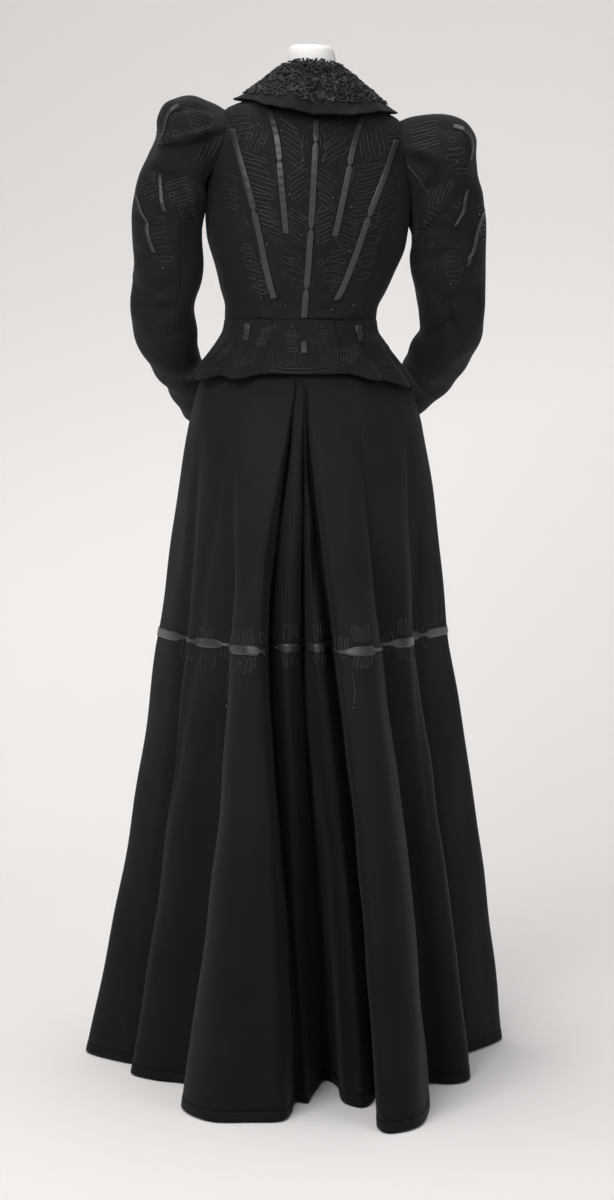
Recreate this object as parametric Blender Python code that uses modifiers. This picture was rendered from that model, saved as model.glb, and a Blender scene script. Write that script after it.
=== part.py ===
"""Afternoon suit of the 1890s, jacket and skirt, on a limbless dress form.

Metres, +Z up, the wearer faces -Y and the wearer's left is +X.
The origin is the middle of the stand's underside.
"""
import math
from collections import namedtuple
from functools import lru_cache

import bmesh
import bpy
import numpy as np

# Driving sizes of the suit
JACKET_WALL = 0.0015
SKIRT_WALL = 0.0013
SLEEVE_WALL = 0.0015
COLLAR_WALL = 0.0018
RIBBON_WALL = 0.0010
SEAM_GAP = 0.0003
RIBBON_WIDTH = 0.0088
RIBBON_LIFT = 0.0006
SLEEVE_RIBBON_LIFT = 0.0010
BAND_INSET = 0.0030
BAND_WALL = 0.0012
PEPLUM_TOP = 1.0347
NECK_HEIGHT = 1.3450
SEAM_DEG = 0.085
BODY_TURN_DEG = 3.0

# Driving sizes of the dress form and its stand
BASE_RADIUS = 0.150
BASE_THICKNESS = 0.018
POLE_RADIUS = 0.016
FORM_EASE = 0.0011

Section = namedtuple("Section", "height half_width back front squareness")
TORSO = [
    Section(1.030, 0.1050, 0.0850, 0.0820, 2.10),
    Section(1.050, 0.1058, 0.0862, 0.0850, 2.10),
    Section(1.076, 0.1150, 0.0910, 0.0950, 2.15),
    Section(1.104, 0.1240, 0.0965, 0.1070, 2.20),
    Section(1.146, 0.1385, 0.1040, 0.1230, 2.25),
    Section(1.180, 0.1415, 0.1095, 0.1300, 2.30),
    Section(1.220, 0.1435, 0.1115, 0.1260, 2.30),
    Section(1.270, 0.1400, 0.1060, 0.1060, 2.25),
    Section(1.300, 0.1310, 0.0940, 0.0880, 2.20),
    Section(1.316, 0.1205, 0.0840, 0.0760, 2.15),
    Section(1.330, 0.0930, 0.0690, 0.0630, 2.10),
    Section(1.346, 0.0600, 0.0520, 0.0500, 2.00),
]
PEPLUM = [
    Section(1.0347, 0.1054, 0.0860, 0.0830, 2.10),
    Section(1.0200, 0.1075, 0.0915, 0.0870, 2.10),
    Section(1.0060, 0.1145, 0.1000, 0.0940, 2.15),
    Section(0.9900, 0.1255, 0.1110, 0.1020, 2.15),
    Section(0.9700, 0.1400, 0.1270, 0.1120, 2.20),
    Section(0.9500, 0.1535, 0.1420, 0.1200, 2.20),
    Section(0.9300, 0.1650, 0.1540, 0.1270, 2.20),
]
FORM = [
    Section(0.8030, 0.0900, 0.0700, 0.0650, 2.00),
    Section(0.8060, 0.1080, 0.0850, 0.0800, 2.05),
    Section(0.8200, 0.1270, 0.1000, 0.0950, 2.10),
    Section(0.8500, 0.1400, 0.1110, 0.1040, 2.10),
    Section(0.9000, 0.1400, 0.1160, 0.1020, 2.10),
    Section(0.9500, 0.1290, 0.1090, 0.0960, 2.10),
    Section(1.0000, 0.1040, 0.0880, 0.0820, 2.10),
    Section(1.0350, 0.0985, 0.0790, 0.0765, 2.10),
    Section(1.0500, 0.0996, 0.0805, 0.0790, 2.10),
    Section(1.0620, 0.1060, 0.0850, 0.0860, 2.10),
    Section(1.0760, 0.1120, 0.0888, 0.0920, 2.15),
    Section(1.1040, 0.1218, 0.0943, 0.1045, 2.20),
    Section(1.1460, 0.1362, 0.1017, 0.1190, 2.25),
    Section(1.1800, 0.1390, 0.1070, 0.1250, 2.25),
    Section(1.2200, 0.1360, 0.1085, 0.1210, 2.20),
    Section(1.2700, 0.1290, 0.1025, 0.1025, 2.15),
    Section(1.3000, 0.1190, 0.0900, 0.0840, 2.15),
    Section(1.3130, 0.1080, 0.0790, 0.0720, 2.10),
    Section(1.3270, 0.0850, 0.0640, 0.0590, 2.05),
    Section(1.3420, 0.0545, 0.0480, 0.0460, 2.00),
    Section(1.3600, 0.0400, 0.0410, 0.0410, 2.00),
    Section(1.3850, 0.0345, 0.0370, 0.0380, 2.00),
    Section(1.4060, 0.0310, 0.0340, 0.0350, 2.00),
    Section(1.4110, 0.0260, 0.0290, 0.0300, 2.00),
]

# How the body above the waist leans to the wearer's right, and how far its left side rises
Lean = namedtuple("Lean", "height shift rise")
LEAN = [
    Lean(1.000, 0.0000, 0.000),
    Lean(1.050, -0.0020, 0.015),
    Lean(1.100, -0.0060, 0.040),
    Lean(1.150, -0.0090, 0.055),
    Lean(1.230, -0.0135, 0.060),
    Lean(1.310, -0.0175, 0.062),
    Lean(1.350, -0.0185, 0.062),
    Lean(1.410, -0.0155, 0.030),
]

# One row for each line that runs down the skirt from the wearer's left side round the back:
# the hip angle, how far it is tucked in there, and its place at the knee and at the hem
FoldLine = namedtuple("FoldLine", "name hip_deg tuck knee_x knee_y hem_x hem_y")
FOLD_LINES = [
    FoldLine("side_left", 3, 0, 0.2010, -0.005, 0.3035, 0.002),
    FoldLine("fold_1_right", 22, 0, 0.1720, 0.066, 0.2480, 0.068),
    FoldLine("valley_1", 30, 0, 0.1520, 0.086, 0.2160, 0.088),
    FoldLine("fold_2_left", 37, 0, 0.1570, 0.110, 0.2335, 0.133),
    FoldLine("fold_2_crest", 43, 0, 0.1370, 0.145, 0.2000, 0.173),
    FoldLine("fold_2_right", 50, 0, 0.1080, 0.170, 0.1600, 0.190),
    FoldLine("valley_2", 55, 0, 0.0880, 0.183, 0.1300, 0.208),
    FoldLine("fold_3_left", 60, 0, 0.0937, 0.215, 0.1565, 0.310),
    FoldLine("fold_3_round", 64, 0, 0.0880, 0.240, 0.1400, 0.369),
    FoldLine("fold_3_crest", 69, 0, 0.0730, 0.258, 0.1120, 0.401),
    FoldLine("fold_3_middle", 75, 0, 0.0590, 0.264, 0.0660, 0.403),
    FoldLine("fold_3_right", 80, 0, 0.0500, 0.260, 0.0240, 0.398),
    FoldLine("fold_3_edge", 83.7, 0.0000, 0.0450, 0.240, 0.0120, 0.360),
    FoldLine("pleat_left", 85.2, 0.0260, 0.0405, 0.176, 0.0020, 0.296),
    FoldLine("centre_left", 86.8, 0.0030, 0.0320, 0.208, -0.0100, 0.303),
    FoldLine("centre_crest", 88.8, 0.0000, 0.0180, 0.226, -0.0140, 0.272),
    FoldLine("centre_right", 90.7, 0.0010, 0.0030, 0.212, -0.0230, 0.222),
    FoldLine("pleat_middle", 91.7, 0.0110, -0.0040, 0.165, -0.0360, 0.176),
    FoldLine("fold_4_left", 92.5, 0.0105, -0.0110, 0.205, -0.0510, 0.215),
    FoldLine("fold_4_crest", 93.1, 0.0120, -0.0230, 0.226, -0.0610, 0.304),
    FoldLine("fold_4_round", 93.5, 0.0155, -0.0330, 0.222, -0.0820, 0.326),
    FoldLine("fold_4_right", 93.9, 0.0185, -0.0370, 0.205, -0.0930, 0.309),
    FoldLine("pleat_right", 94.2, 0.0210, -0.0440, 0.170, -0.1020, 0.262),
    FoldLine("fold_5_flank", 95.0, 0.0100, -0.0520, 0.215, -0.1090, 0.335),
    FoldLine("fold_5_left", 95.8, 0.0010, -0.0480, 0.255, -0.1000, 0.434),
    FoldLine("fold_5_tip", 98.0, 0, -0.0560, 0.272, -0.1130, 0.460),
    FoldLine("fold_5_crest", 103, 0, -0.0750, 0.274, -0.1350, 0.450),
    FoldLine("fold_5_round", 110, 0, -0.0970, 0.260, -0.1580, 0.415),
    FoldLine("fold_5_right", 115, 0, -0.1100, 0.225, -0.1720, 0.304),
    FoldLine("valley_5", 119, 0, -0.1060, 0.178, -0.1600, 0.205),
    FoldLine("fold_6_left", 123, 0, -0.1200, 0.166, -0.1770, 0.192),
    FoldLine("fold_6_crest", 130, 0, -0.1400, 0.157, -0.2070, 0.196),
    FoldLine("fold_6_round", 137, 0, -0.1540, 0.136, -0.2290, 0.179),
    FoldLine("fold_6_right", 143, 0, -0.1580, 0.103, -0.2320, 0.129),
    FoldLine("valley_6", 148, 0, -0.1520, 0.066, -0.2160, 0.035),
    FoldLine("fold_7_left", 153, 0, -0.1700, 0.040, -0.2380, 0.012),
    FoldLine("fold_7_crest", 163, 0, -0.1950, 0.000, -0.2700, -0.036),
    FoldLine("side_right", 176, 0, -0.2110, -0.040, -0.2920, -0.089),
]
# The hidden front hangs in even soft flutes on one ellipse
FRONT_LINES = 15
FRONT_SPAN_AT_HIP = (189.0, 352.0)
FRONT_SPAN_AT_KNEE = (204.0, 350.0)
FRONT_SPAN_AT_HEM = (213.0, 350.0)
FRONT_HEM = (0.296, 0.290)
FRONT_KNEE = (0.200, 0.205)
FLUTE_AT_HEM = 0.016
FLUTE_AT_KNEE = 0.004

SkirtRing = namedtuple("SkirtRing", "height left right back front")
SKIRT_TOP = [
    SkirtRing(1.0345, 0.1015, 0.1015, 0.0815, 0.0790),
    SkirtRing(1.0000, 0.1100, 0.1100, 0.0940, 0.0880),
    SkirtRing(0.9600, 0.1365, 0.1400, 0.1235, 0.1040),
    SkirtRing(0.8850, 0.1560, 0.1715, 0.1600, 0.1350),
]
KNEE_HEIGHT = 0.580
SKIRT_SWAY = 0.0060
HEM_HEIGHT = 0.000
HEM_CLEARANCE = 0.0025
BINDING_TOP = 0.0150
BINDING_EXTRA = 0.0010
KNEE_RIBBON = (0.5930, 0.6050)

# Sleeve rings from the armhole to the cuff: the outer and the inner point, the middle's place and
# half depth front to back, the tip of that depth, and how square the ring is
Ring = namedtuple("Ring", "outer_x outer_z inner_x inner_z y depth tip squareness")
SLEEVE = {
    "left": [
        Ring(0.1420, 1.3250, 0.1432, 1.1735, -0.007, 0.0690, 0, 2.1),
        Ring(0.1690, 1.3310, 0.1442, 1.1690, -0.006, 0.0770, 0, 2.5),
        Ring(0.2000, 1.3225, 0.1450, 1.1650, -0.004, 0.0800, 0, 3.0),
        Ring(0.2122, 1.2985, 0.1455, 1.1605, -0.004, 0.0800, 0, 3.0),
        Ring(0.2150, 1.2705, 0.1455, 1.1560, -0.004, 0.0780, 0, 2.8),
        Ring(0.2246, 1.2470, 0.1450, 1.1510, -0.002, 0.0710, 0, 2.3),
        Ring(0.2364, 1.2205, 0.1440, 1.1440, 0.000, 0.0690, 0, 2.1),
        Ring(0.2421, 1.1850, 0.1425, 1.1310, 0.000, 0.0640, 0, 2.0),
        Ring(0.2413, 1.1390, 0.1405, 1.1070, 0.000, 0.0570, 0, 2.0),
        Ring(0.2358, 1.0970, 0.1405, 1.0785, -0.002, 0.0520, -4, 2.0),
        Ring(0.2369, 1.0580, 0.1470, 1.0480, -0.008, 0.0490, -12, 2.0),
        Ring(0.2330, 1.0256, 0.1440, 1.0204, -0.024, 0.0460, -26, 2.0),
        Ring(0.2225, 0.9985, 0.1400, 0.9940, -0.052, 0.0430, -38, 2.0),
        Ring(0.2070, 0.9745, 0.1330, 0.9700, -0.088, 0.0380, -44, 2.0),
        Ring(0.1885, 0.9495, 0.1190, 0.9470, -0.128, 0.0340, -48, 2.0),
        Ring(0.1735, 0.9245, 0.1020, 0.9220, -0.160, 0.0315, -50, 2.0),
        Ring(0.1595, 0.9035, 0.0935, 0.9010, -0.190, 0.0290, -51, 2.0),
    ],
    "right": [
        Ring(0.1430, 1.3255, 0.1435, 1.1735, -0.007, 0.0690, 0, 2.1),
        Ring(0.1710, 1.3285, 0.1450, 1.1690, -0.006, 0.0770, 0, 2.5),
        Ring(0.2090, 1.3220, 0.1465, 1.1645, -0.004, 0.0800, 0, 3.0),
        Ring(0.2250, 1.3030, 0.1475, 1.1600, -0.004, 0.0800, 0, 3.0),
        Ring(0.2255, 1.2755, 0.1475, 1.1555, -0.004, 0.0780, 0, 2.8),
        Ring(0.2310, 1.2530, 0.1475, 1.1505, -0.002, 0.0710, 0, 2.3),
        Ring(0.2410, 1.2270, 0.1470, 1.1430, 0.000, 0.0690, 0, 2.1),
        Ring(0.2460, 1.1920, 0.1455, 1.1290, 0.000, 0.0640, 0, 2.0),
        Ring(0.2500, 1.1465, 0.1480, 1.1020, 0.000, 0.0570, 0, 2.0),
        Ring(0.2520, 1.1030, 0.1565, 1.0740, -0.002, 0.0520, -4, 2.0),
        Ring(0.2560, 1.0610, 0.1675, 1.0460, -0.008, 0.0490, -12, 2.0),
        Ring(0.2570, 1.0265, 0.1690, 1.0200, -0.024, 0.0460, -26, 2.0),
        Ring(0.2490, 0.9985, 0.1585, 0.9940, -0.050, 0.0430, -38, 2.0),
        Ring(0.2370, 0.9745, 0.1520, 0.9700, -0.084, 0.0390, -44, 2.0),
        Ring(0.2240, 0.9495, 0.1460, 0.9470, -0.124, 0.0350, -48, 2.0),
        Ring(0.2010, 0.9245, 0.1300, 0.9220, -0.160, 0.0315, -50, 2.0),
        Ring(0.1840, 0.9035, 0.1180, 0.9010, -0.190, 0.0290, -51, 2.0),
    ],
}
SIDES = {"left": 1, "right": -1}
ARMHOLE_MIDDLE = 1.2480
ARMHOLE_HALF = 0.0680
ARMHOLE_GAP = 0.0007
SEAM_TOP = 1.2910

# Where the back seams and the ribbons run, as distance from the centre back at each height
Trace = namedtuple("Trace", "height distance")
BACK_SEAM = [Trace(1.030, 0.0345), Trace(1.056, 0.0447), Trace(1.080, 0.0520), Trace(1.157, 0.0755),
             Trace(1.190, 0.0850), Trace(1.240, 0.1010), Trace(1.280, 0.1150), Trace(1.291, 0.1178)]
INNER_RIBBON = [Trace(1.150, 0.0330), Trace(1.230, 0.0455), Trace(1.265, 0.0500), Trace(1.322, 0.0640)]
OUTER_RIBBON = [Trace(1.056, 0.0400), Trace(1.080, 0.0490), Trace(1.157, 0.0720), Trace(1.190, 0.0815),
                Trace(1.240, 0.0975), Trace(1.286, 0.1120)]

Finish = namedtuple("Finish", "colour roughness metallic")
FINISHES = {
    "wool": Finish((0.012, 0.012, 0.013), 0.85, 0.0),
    "satin": Finish((0.060, 0.062, 0.064), 0.35, 0.0),
    "applique": Finish((0.010, 0.010, 0.010), 0.45, 0.0),
    "form_cover": Finish((0.80, 0.79, 0.76), 0.80, 0.0),
    "stand_paint": Finish((0.72, 0.72, 0.71), 0.40, 0.0),
}


def start_clean():
    """Empty the scene and make the two collections."""
    for old in list(bpy.data.objects):
        bpy.data.objects.remove(old, do_unlink=True)
    suit = bpy.data.collections.new("afternoon_suit")
    cutters = bpy.data.collections.new("cutters")
    bpy.context.scene.collection.children.link(suit)
    bpy.context.scene.collection.children.link(cutters)
    return suit, cutters


SUIT, CUTTERS = start_clean()


def finish_material(name):
    """The plain finish of one kind of piece."""
    if name in bpy.data.materials:
        return bpy.data.materials[name]
    material = bpy.data.materials.new(name)
    material.use_nodes = True
    shader = material.node_tree.nodes["Principled BSDF"]
    colour, roughness, metallic = FINISHES[name]
    shader.inputs["Base Color"].default_value = (*colour, 1.0)
    shader.inputs["Roughness"].default_value = roughness
    shader.inputs["Metallic"].default_value = metallic
    return material


def along(place, stations, values):
    """A smooth curve through values at rising stations that never overshoots them."""
    place = min(max(place, stations[0]), stations[-1])
    last = len(stations) - 1
    at = min(max(int(np.searchsorted(stations, place)) - 1, 0), last - 1)

    def rate(i):
        return (values[i + 1] - values[i]) / (stations[i + 1] - stations[i])

    def tangent(i):
        if i == 0:
            return rate(0)
        if i == last:
            return rate(last - 1)
        before = rate(i - 1)
        after = rate(i)
        if before * after <= 0:
            return 0.0
        return 2 * before * after / (before + after)

    step = stations[at + 1] - stations[at]
    t = (place - stations[at]) / step
    start_share = 2 * t ** 3 - 3 * t ** 2 + 1
    end_share = 3 * t ** 2 - 2 * t ** 3
    start_slope = (t ** 3 - 2 * t ** 2 + t) * step * tangent(at)
    end_slope = (t ** 3 - t ** 2) * step * tangent(at + 1)
    return start_share * values[at] + end_share * values[at + 1] + start_slope + end_slope


def column(table, name):
    """One named column of a table of rows."""
    return [getattr(row, name) for row in table]


@lru_cache(maxsize=None)
def section_at(kind, height):
    """Half width, back depth, front depth and squareness of a body section."""
    table = {"torso": TORSO, "peplum": PEPLUM[::-1], "form": FORM}[kind]
    stations = column(table, "height")
    return [along(height, stations, column(table, name)) for name in Section._fields[1:]]


def leaned(x, y, z):
    """A point moved as the body leans above the waist."""
    stations = column(LEAN, "height")
    shift = along(z, stations, column(LEAN, "shift"))
    rise = along(z, stations, column(LEAN, "rise"))
    return np.array((x + shift, y, z + x * rise))


def section_point(kind, deg, height, outward=0.0):
    """A point of a body section: 0 degrees is the left side, 90 the centre back."""
    half_width, back, front, squareness = section_at(kind, height)
    cosine = math.cos(math.radians(deg))
    sine = math.sin(math.radians(deg))
    depth = back if sine >= 0 else front
    power = 2 / squareness
    x = math.copysign(abs(cosine) ** power, cosine) * (half_width + outward)
    y = math.copysign(abs(sine) ** power, sine) * (depth + outward)
    return leaned(x, y, height)


def degrees_at(kind, distance, height):
    """The angle, from the side, of a point at a distance from the centre back."""
    half_width, back, front, squareness = section_at(kind, height)
    share = min(distance / half_width, 1.0)
    return math.degrees(math.acos(share ** (squareness / 2)))


def trace_degrees(kind, trace, height):
    """The angle of a seam or ribbon line at a height."""
    distance = along(height, column(trace, "height"), column(trace, "distance"))
    return degrees_at(kind, distance, height)


def normal_of(surface, u, v, du, dv):
    """The surface's normal from four near points."""
    across = surface(u + du, v) - surface(u - du, v)
    down = surface(u, v + dv) - surface(u, v - dv)
    normal = np.cross(across, down)
    return normal / np.linalg.norm(normal)


def grid_faces(outer, columns, rows, wraps):
    """Faces of a wall whose outer points come first and whose inner points follow.

    Both sides of a cell are cut along the same diagonal, so that a twisted cell keeps its wall.
    """
    size = columns * rows
    faces = []
    spans = columns if wraps else columns - 1
    for i in range(spans):
        k = (i + 1) % columns
        for j in range(rows - 1):
            a, b, c, d = i * rows + j, k * rows + j, k * rows + j + 1, i * rows + j + 1
            if np.linalg.norm(outer[a] - outer[c]) <= np.linalg.norm(outer[b] - outer[d]):
                cell = [(a, b, c), (a, c, d)]
            else:
                cell = [(a, b, d), (b, c, d)]
            faces += cell
            faces += [tuple(size + corner for corner in reversed(half)) for half in cell]
        for j in (0, rows - 1):
            faces.append((i * rows + j, size + i * rows + j, size + k * rows + j, k * rows + j))
    if not wraps:
        for i in (0, columns - 1):
            for j in range(rows - 1):
                start = i * rows + j
                faces.append((start, start + 1, size + start + 1, size + start))
    return faces


def add_mesh(name, points, faces, material):
    """A closed body with its faces pointing out."""
    mesh = bpy.data.meshes.new(name)
    mesh.from_pydata([tuple(p) for p in points], [], faces)
    body = bmesh.new()
    body.from_mesh(mesh)
    bmesh.ops.recalc_face_normals(body, faces=body.faces)
    if body.calc_volume(signed=True) < 0:
        bmesh.ops.reverse_faces(body, faces=body.faces)
    body.to_mesh(mesh)
    body.free()
    mesh.materials.append(finish_material(material))
    piece = bpy.data.objects.new(name, mesh)
    SUIT.objects.link(piece)
    mesh.shade_smooth()
    mesh.set_sharp_from_angle(angle=math.radians(50))
    return piece


def wall(name, surface, us, vs, thickness, material, lift=0.0, wraps=False, outward=1, raised=None,
         step=(1e-4, 1e-5)):
    """A cloth wall: outer points on the surface, inner ones along its normals."""
    outer = []
    inner = []
    for u in us:
        for v in vs:
            point = surface(u, v)
            normal = outward * normal_of(surface, u, v, *step)
            relief = raised(u, v) if raised else 0.0
            outer.append(point + normal * (lift + relief))
            inner.append(point + normal * (lift - thickness))
    return add_mesh(name, outer + inner, grid_faces(outer, len(us), len(vs), wraps), material)


def spread(first, last, count):
    """Evenly spaced values, both ends included."""
    return [first + (last - first) * i / (count - 1) for i in range(count)]


def mirrored(side, deg):
    """An angle on the left half, or its twin on the right half."""
    return deg if side == "left" else 180.0 - deg


def armhole_phase(height):
    """How far round the armhole from its top, in degrees, a height lies."""
    return math.degrees(math.acos(max(-1, min(1, (height - ARMHOLE_MIDDLE) / ARMHOLE_HALF))))


def armhole_degrees(phase):
    """The body angle of the armhole's edge: back edge to 180, front edge past it."""
    sine = math.sin(math.radians(phase))
    cosine = math.cos(math.radians(phase))
    if phase <= 180:
        return ARMHOLE_BACK_DEG * sine * (1 + ARMHOLE_BACK_TOP * cosine)
    return ARMHOLE_FRONT_DEG * sine * (1 + ARMHOLE_FRONT_TOP * cosine)


# How wide the armhole is to the back and to the front, and how much wider near its top
ARMHOLE_BACK_DEG = 27.0
ARMHOLE_BACK_TOP = 0.55
ARMHOLE_FRONT_DEG = 36.0
ARMHOLE_FRONT_TOP = 0.30
ARMHOLE_TOP = ARMHOLE_MIDDLE + ARMHOLE_HALF
# The side seams, and the phase of the armhole's edge at which each one meets it
SIDE_SEAM_BACK = 14.0
SIDE_SEAM_FRONT = -18.0
BACK_SEAM_PHASE = 128.0
FRONT_SEAM_PHASE = 139.5


def back_edge(height):
    """Outer edge of the back: side seam, armhole and shoulder seam."""
    if height >= ARMHOLE_TOP:
        return SEAM_DEG
    phase = armhole_phase(height)
    if phase > BACK_SEAM_PHASE:
        return SIDE_SEAM_BACK
    return max(armhole_degrees(phase), SEAM_DEG)


def front_edge(height):
    """Outer edge of the front: side seam, armhole and shoulder seam."""
    if height >= ARMHOLE_TOP:
        return -SEAM_DEG
    phase = armhole_phase(height)
    if phase > FRONT_SEAM_PHASE:
        return SIDE_SEAM_FRONT
    return min(armhole_degrees(360 - phase), -SEAM_DEG)


def underarm_top(deg):
    """Height of the armhole's lower edge over an angle between the side seams."""
    phases = spread(180, 126, 40) if deg >= 0 else spread(180, 222, 40)
    angles = [abs(armhole_degrees(phase)) for phase in phases]
    phase = float(np.interp(abs(deg), angles, phases))
    return ARMHOLE_MIDDLE + ARMHOLE_HALF * math.cos(math.radians(phase))


JACKET_ROWS = [1.0355, 1.048, 1.062, 1.080, 1.100, 1.124, 1.150, 1.178, 1.206, 1.232, 1.260, 1.276, SEAM_TOP]
SHOULDER_ROWS = [1.295, 1.306, 1.3155, 1.328, NECK_HEIGHT]


def jacket_panels(side):
    """The four cut pieces of one half of the jacket."""
    sign = SIDES[side]

    def centre_back(u, height):
        seam = trace_degrees("torso", BACK_SEAM, height) + SEAM_DEG
        edge = seam if height <= SEAM_TOP else back_edge(height) + SEAM_DEG
        deg = (90 - SEAM_DEG) + (edge - 90 + SEAM_DEG) * u
        return section_point("torso", mirrored(side, deg), height)

    def side_back(u, height):
        start = trace_degrees("torso", BACK_SEAM, height) - SEAM_DEG
        end = back_edge(height) + SEAM_DEG
        return section_point("torso", mirrored(side, start + (end - start) * u), height)

    def underarm(u, v):
        start = SIDE_SEAM_BACK - SEAM_DEG
        deg = start + (SIDE_SEAM_FRONT + SEAM_DEG - start) * u
        height = JACKET_ROWS[0] + (underarm_top(deg) - SEAM_GAP - JACKET_ROWS[0]) * v
        return section_point("torso", mirrored(side, deg), height)

    def front(u, height):
        start = front_edge(height) - SEAM_DEG
        deg = start + (-90 + SEAM_DEG - start) * u
        return section_point("torso", mirrored(side, deg), height)

    centre_rows = JACKET_ROWS[:-1] + [SEAM_TOP - 0.0001] + SHOULDER_ROWS
    wall("jacket_centre_back_" + side, centre_back, spread(0, 1, 5), centre_rows, JACKET_WALL, "wool",
         outward=-sign)
    wall("jacket_side_back_" + side, side_back, spread(0, 1, 4), JACKET_ROWS, JACKET_WALL, "wool",
         outward=-sign)
    wall("jacket_underarm_" + side, underarm, spread(0, 1, 4), spread(0, 1, 8), JACKET_WALL, "wool",
         outward=-sign, step=(1e-4, 1e-4))
    wall("jacket_front_" + side, front, spread(0, 1, 7), JACKET_ROWS[::2] + SHOULDER_ROWS,
         JACKET_WALL, "wool", outward=-sign)


TAB_HALF_DEG = 22.0
TAB_BOTTOM = 0.9615
PEPLUM_BACK_BOTTOM = 0.9630
PEPLUM_SIDE_BOTTOM = {"left": 0.9560, "right": 0.9400}
FLUTE_SPAN = {"left": 27.0, "right": 24.0}
FLUTE_DEPTH = {"left": 0.0090, "right": 0.0120}
FLUTE_DIP = 0.0050
FRONT_FLUTE_SHARE = 0.4
FLUTE_FADE_DEG = 40.0
SIDE_SHARE_DEG = 60.0
TAB_OVERLAP_DEG = 3.0


def peplum_point(side, deg, v):
    """A point of one side of the peplum, with its flute behind the side."""
    from_tab = max(0.0, 90 - TAB_HALF_DEG - deg)
    wave = 0.5 - 0.5 * math.cos(math.radians(from_tab / FLUTE_SPAN[side] * 360))
    to_side = min(1.0, from_tab / SIDE_SHARE_DEG)
    bottom = PEPLUM_BACK_BOTTOM + (PEPLUM_SIDE_BOTTOM[side] - PEPLUM_BACK_BOTTOM) * to_side
    height = PEPLUM_TOP + (bottom - FLUTE_DIP * wave - PEPLUM_TOP) * v
    behind = min(1.0, max(0.0, 0.5 + deg / FLUTE_FADE_DEG))
    depth = FLUTE_DEPTH[side] * (FRONT_FLUTE_SHARE + (1 - FRONT_FLUTE_SHARE) * behind)
    return section_point("peplum", mirrored(side, deg), height, depth * wave * max(v, 0.0) ** 1.5)


def peplum_side(side):
    """One side of the peplum, from under the centre tab round to the centre front."""
    def surface(deg, v):
        return peplum_point(side, deg, v)

    spans = spread(90 - TAB_HALF_DEG + TAB_OVERLAP_DEG, 0, 14) + spread(-9, -90 + SEAM_DEG, 9)
    wall("peplum_" + side, surface, spans, spread(0, 1, 6), JACKET_WALL, "wool", outward=-SIDES[side],
         step=(1e-3, 1e-4))


TAB_LIFT = JACKET_WALL + 0.0009


def centre_tab():
    """The flat tab at the centre back that lies over both sides of the peplum."""
    def surface(deg, height):
        return section_point("peplum", deg, height)

    wall("peplum_centre_tab", surface, spread(90 + TAB_HALF_DEG, 90 - TAB_HALF_DEG, 6),
         spread(PEPLUM_TOP, TAB_BOTTOM, 6),
         JACKET_WALL, "wool", lift=TAB_LIFT, outward=1, step=(1e-3, 1e-5))


COLLAR_FIRST_DEG = -68.0
HOLE_RADIUS = 0.0030
Hole = namedtuple("Hole", "deg share")
COLLAR_HOLES = [Hole(76, 0.40), Hole(104, 0.47), Hole(52, 0.54)]
# Profile of the collar from the neck seam over the roll to the outer edge
Profile = namedtuple("Profile", "share half_width back front height")
COLLAR = [
    Profile(0.00, 0.0600, 0.0527, 0.0507, 1.3458),
    Profile(0.12, 0.0500, 0.0470, 0.0470, 1.3630),
    Profile(0.24, 0.0425, 0.0440, 0.0440, 1.3830),
    Profile(0.28, 0.0440, 0.0465, 0.0460, 1.3880),
    Profile(0.34, 0.0500, 0.0540, 0.0520, 1.3845),
    Profile(0.50, 0.0660, 0.0710, 0.0650, 1.3700),
    Profile(0.68, 0.0830, 0.0890, 0.0790, 1.3540),
    Profile(0.84, 0.0960, 0.1030, 0.0900, 1.3410),
    Profile(1.00, 0.1090, 0.1160, 0.1000, 1.3310),
]
ROLL_SHARE = 0.28
FALL_SHARE = 0.30
RELIEF_SHARE = 0.34
BAND_SHARE = 0.86
EDGE_DROP = 0.018
RIGHT_DROP = 0.005
ROLL_DROP = 0.012
FRONT_SINE = -0.2
WIDE_RIPPLE = 0.0045
FINE_RIPPLE = 0.0025
COLLAR_SHIFT = 0.004
RELIEF = 0.0012
RELIEF_CHANGE = 0.0008


def collar_point(deg, share):
    """A point of the collar, rippled and dropped a little at its outer edge."""
    stations = column(COLLAR, "share")
    half_width, back, front, height = [along(share, stations, column(COLLAR, name))
                                       for name in Profile._fields[1:]]
    fall = max(0.0, (share - FALL_SHARE) / (1 - FALL_SHARE))
    ripple = WIDE_RIPPLE * fall ** 2 * math.sin(math.radians(deg * 7 + 40))
    ripple += FINE_RIPPLE * fall ** 2 * math.sin(math.radians(deg * 11))
    cosine = math.cos(math.radians(deg))
    sine = math.sin(math.radians(deg))
    depth = back if sine >= 0 else front
    drop = EDGE_DROP * fall ** 2 * max(sine, 0.0) ** 3 + RIGHT_DROP * fall ** 2 * max(-cosine, 0.0)
    drop += ROLL_DROP * (1 - max(sine, FRONT_SINE)) * min(share / ROLL_SHARE, (1 - share) / (1 - ROLL_SHARE))
    x = (half_width + ripple) * cosine - COLLAR_SHIFT * fall
    y = (depth + ripple) * sine
    return leaned(x, y, height - drop)


def collar_relief(deg, share):
    """Thick leaf and scroll applique over the fall, above the plain band at its edge."""
    if share < RELIEF_SHARE or share > BAND_SHARE:
        return 0.0
    leaves = math.sin(math.radians(deg * 20)) * math.sin(share * 42)
    scrolls = math.sin(math.radians(deg * 33 + 50)) * math.cos(share * 27)
    return RELIEF + RELIEF_CHANGE * (leaves + scrolls)


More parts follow.
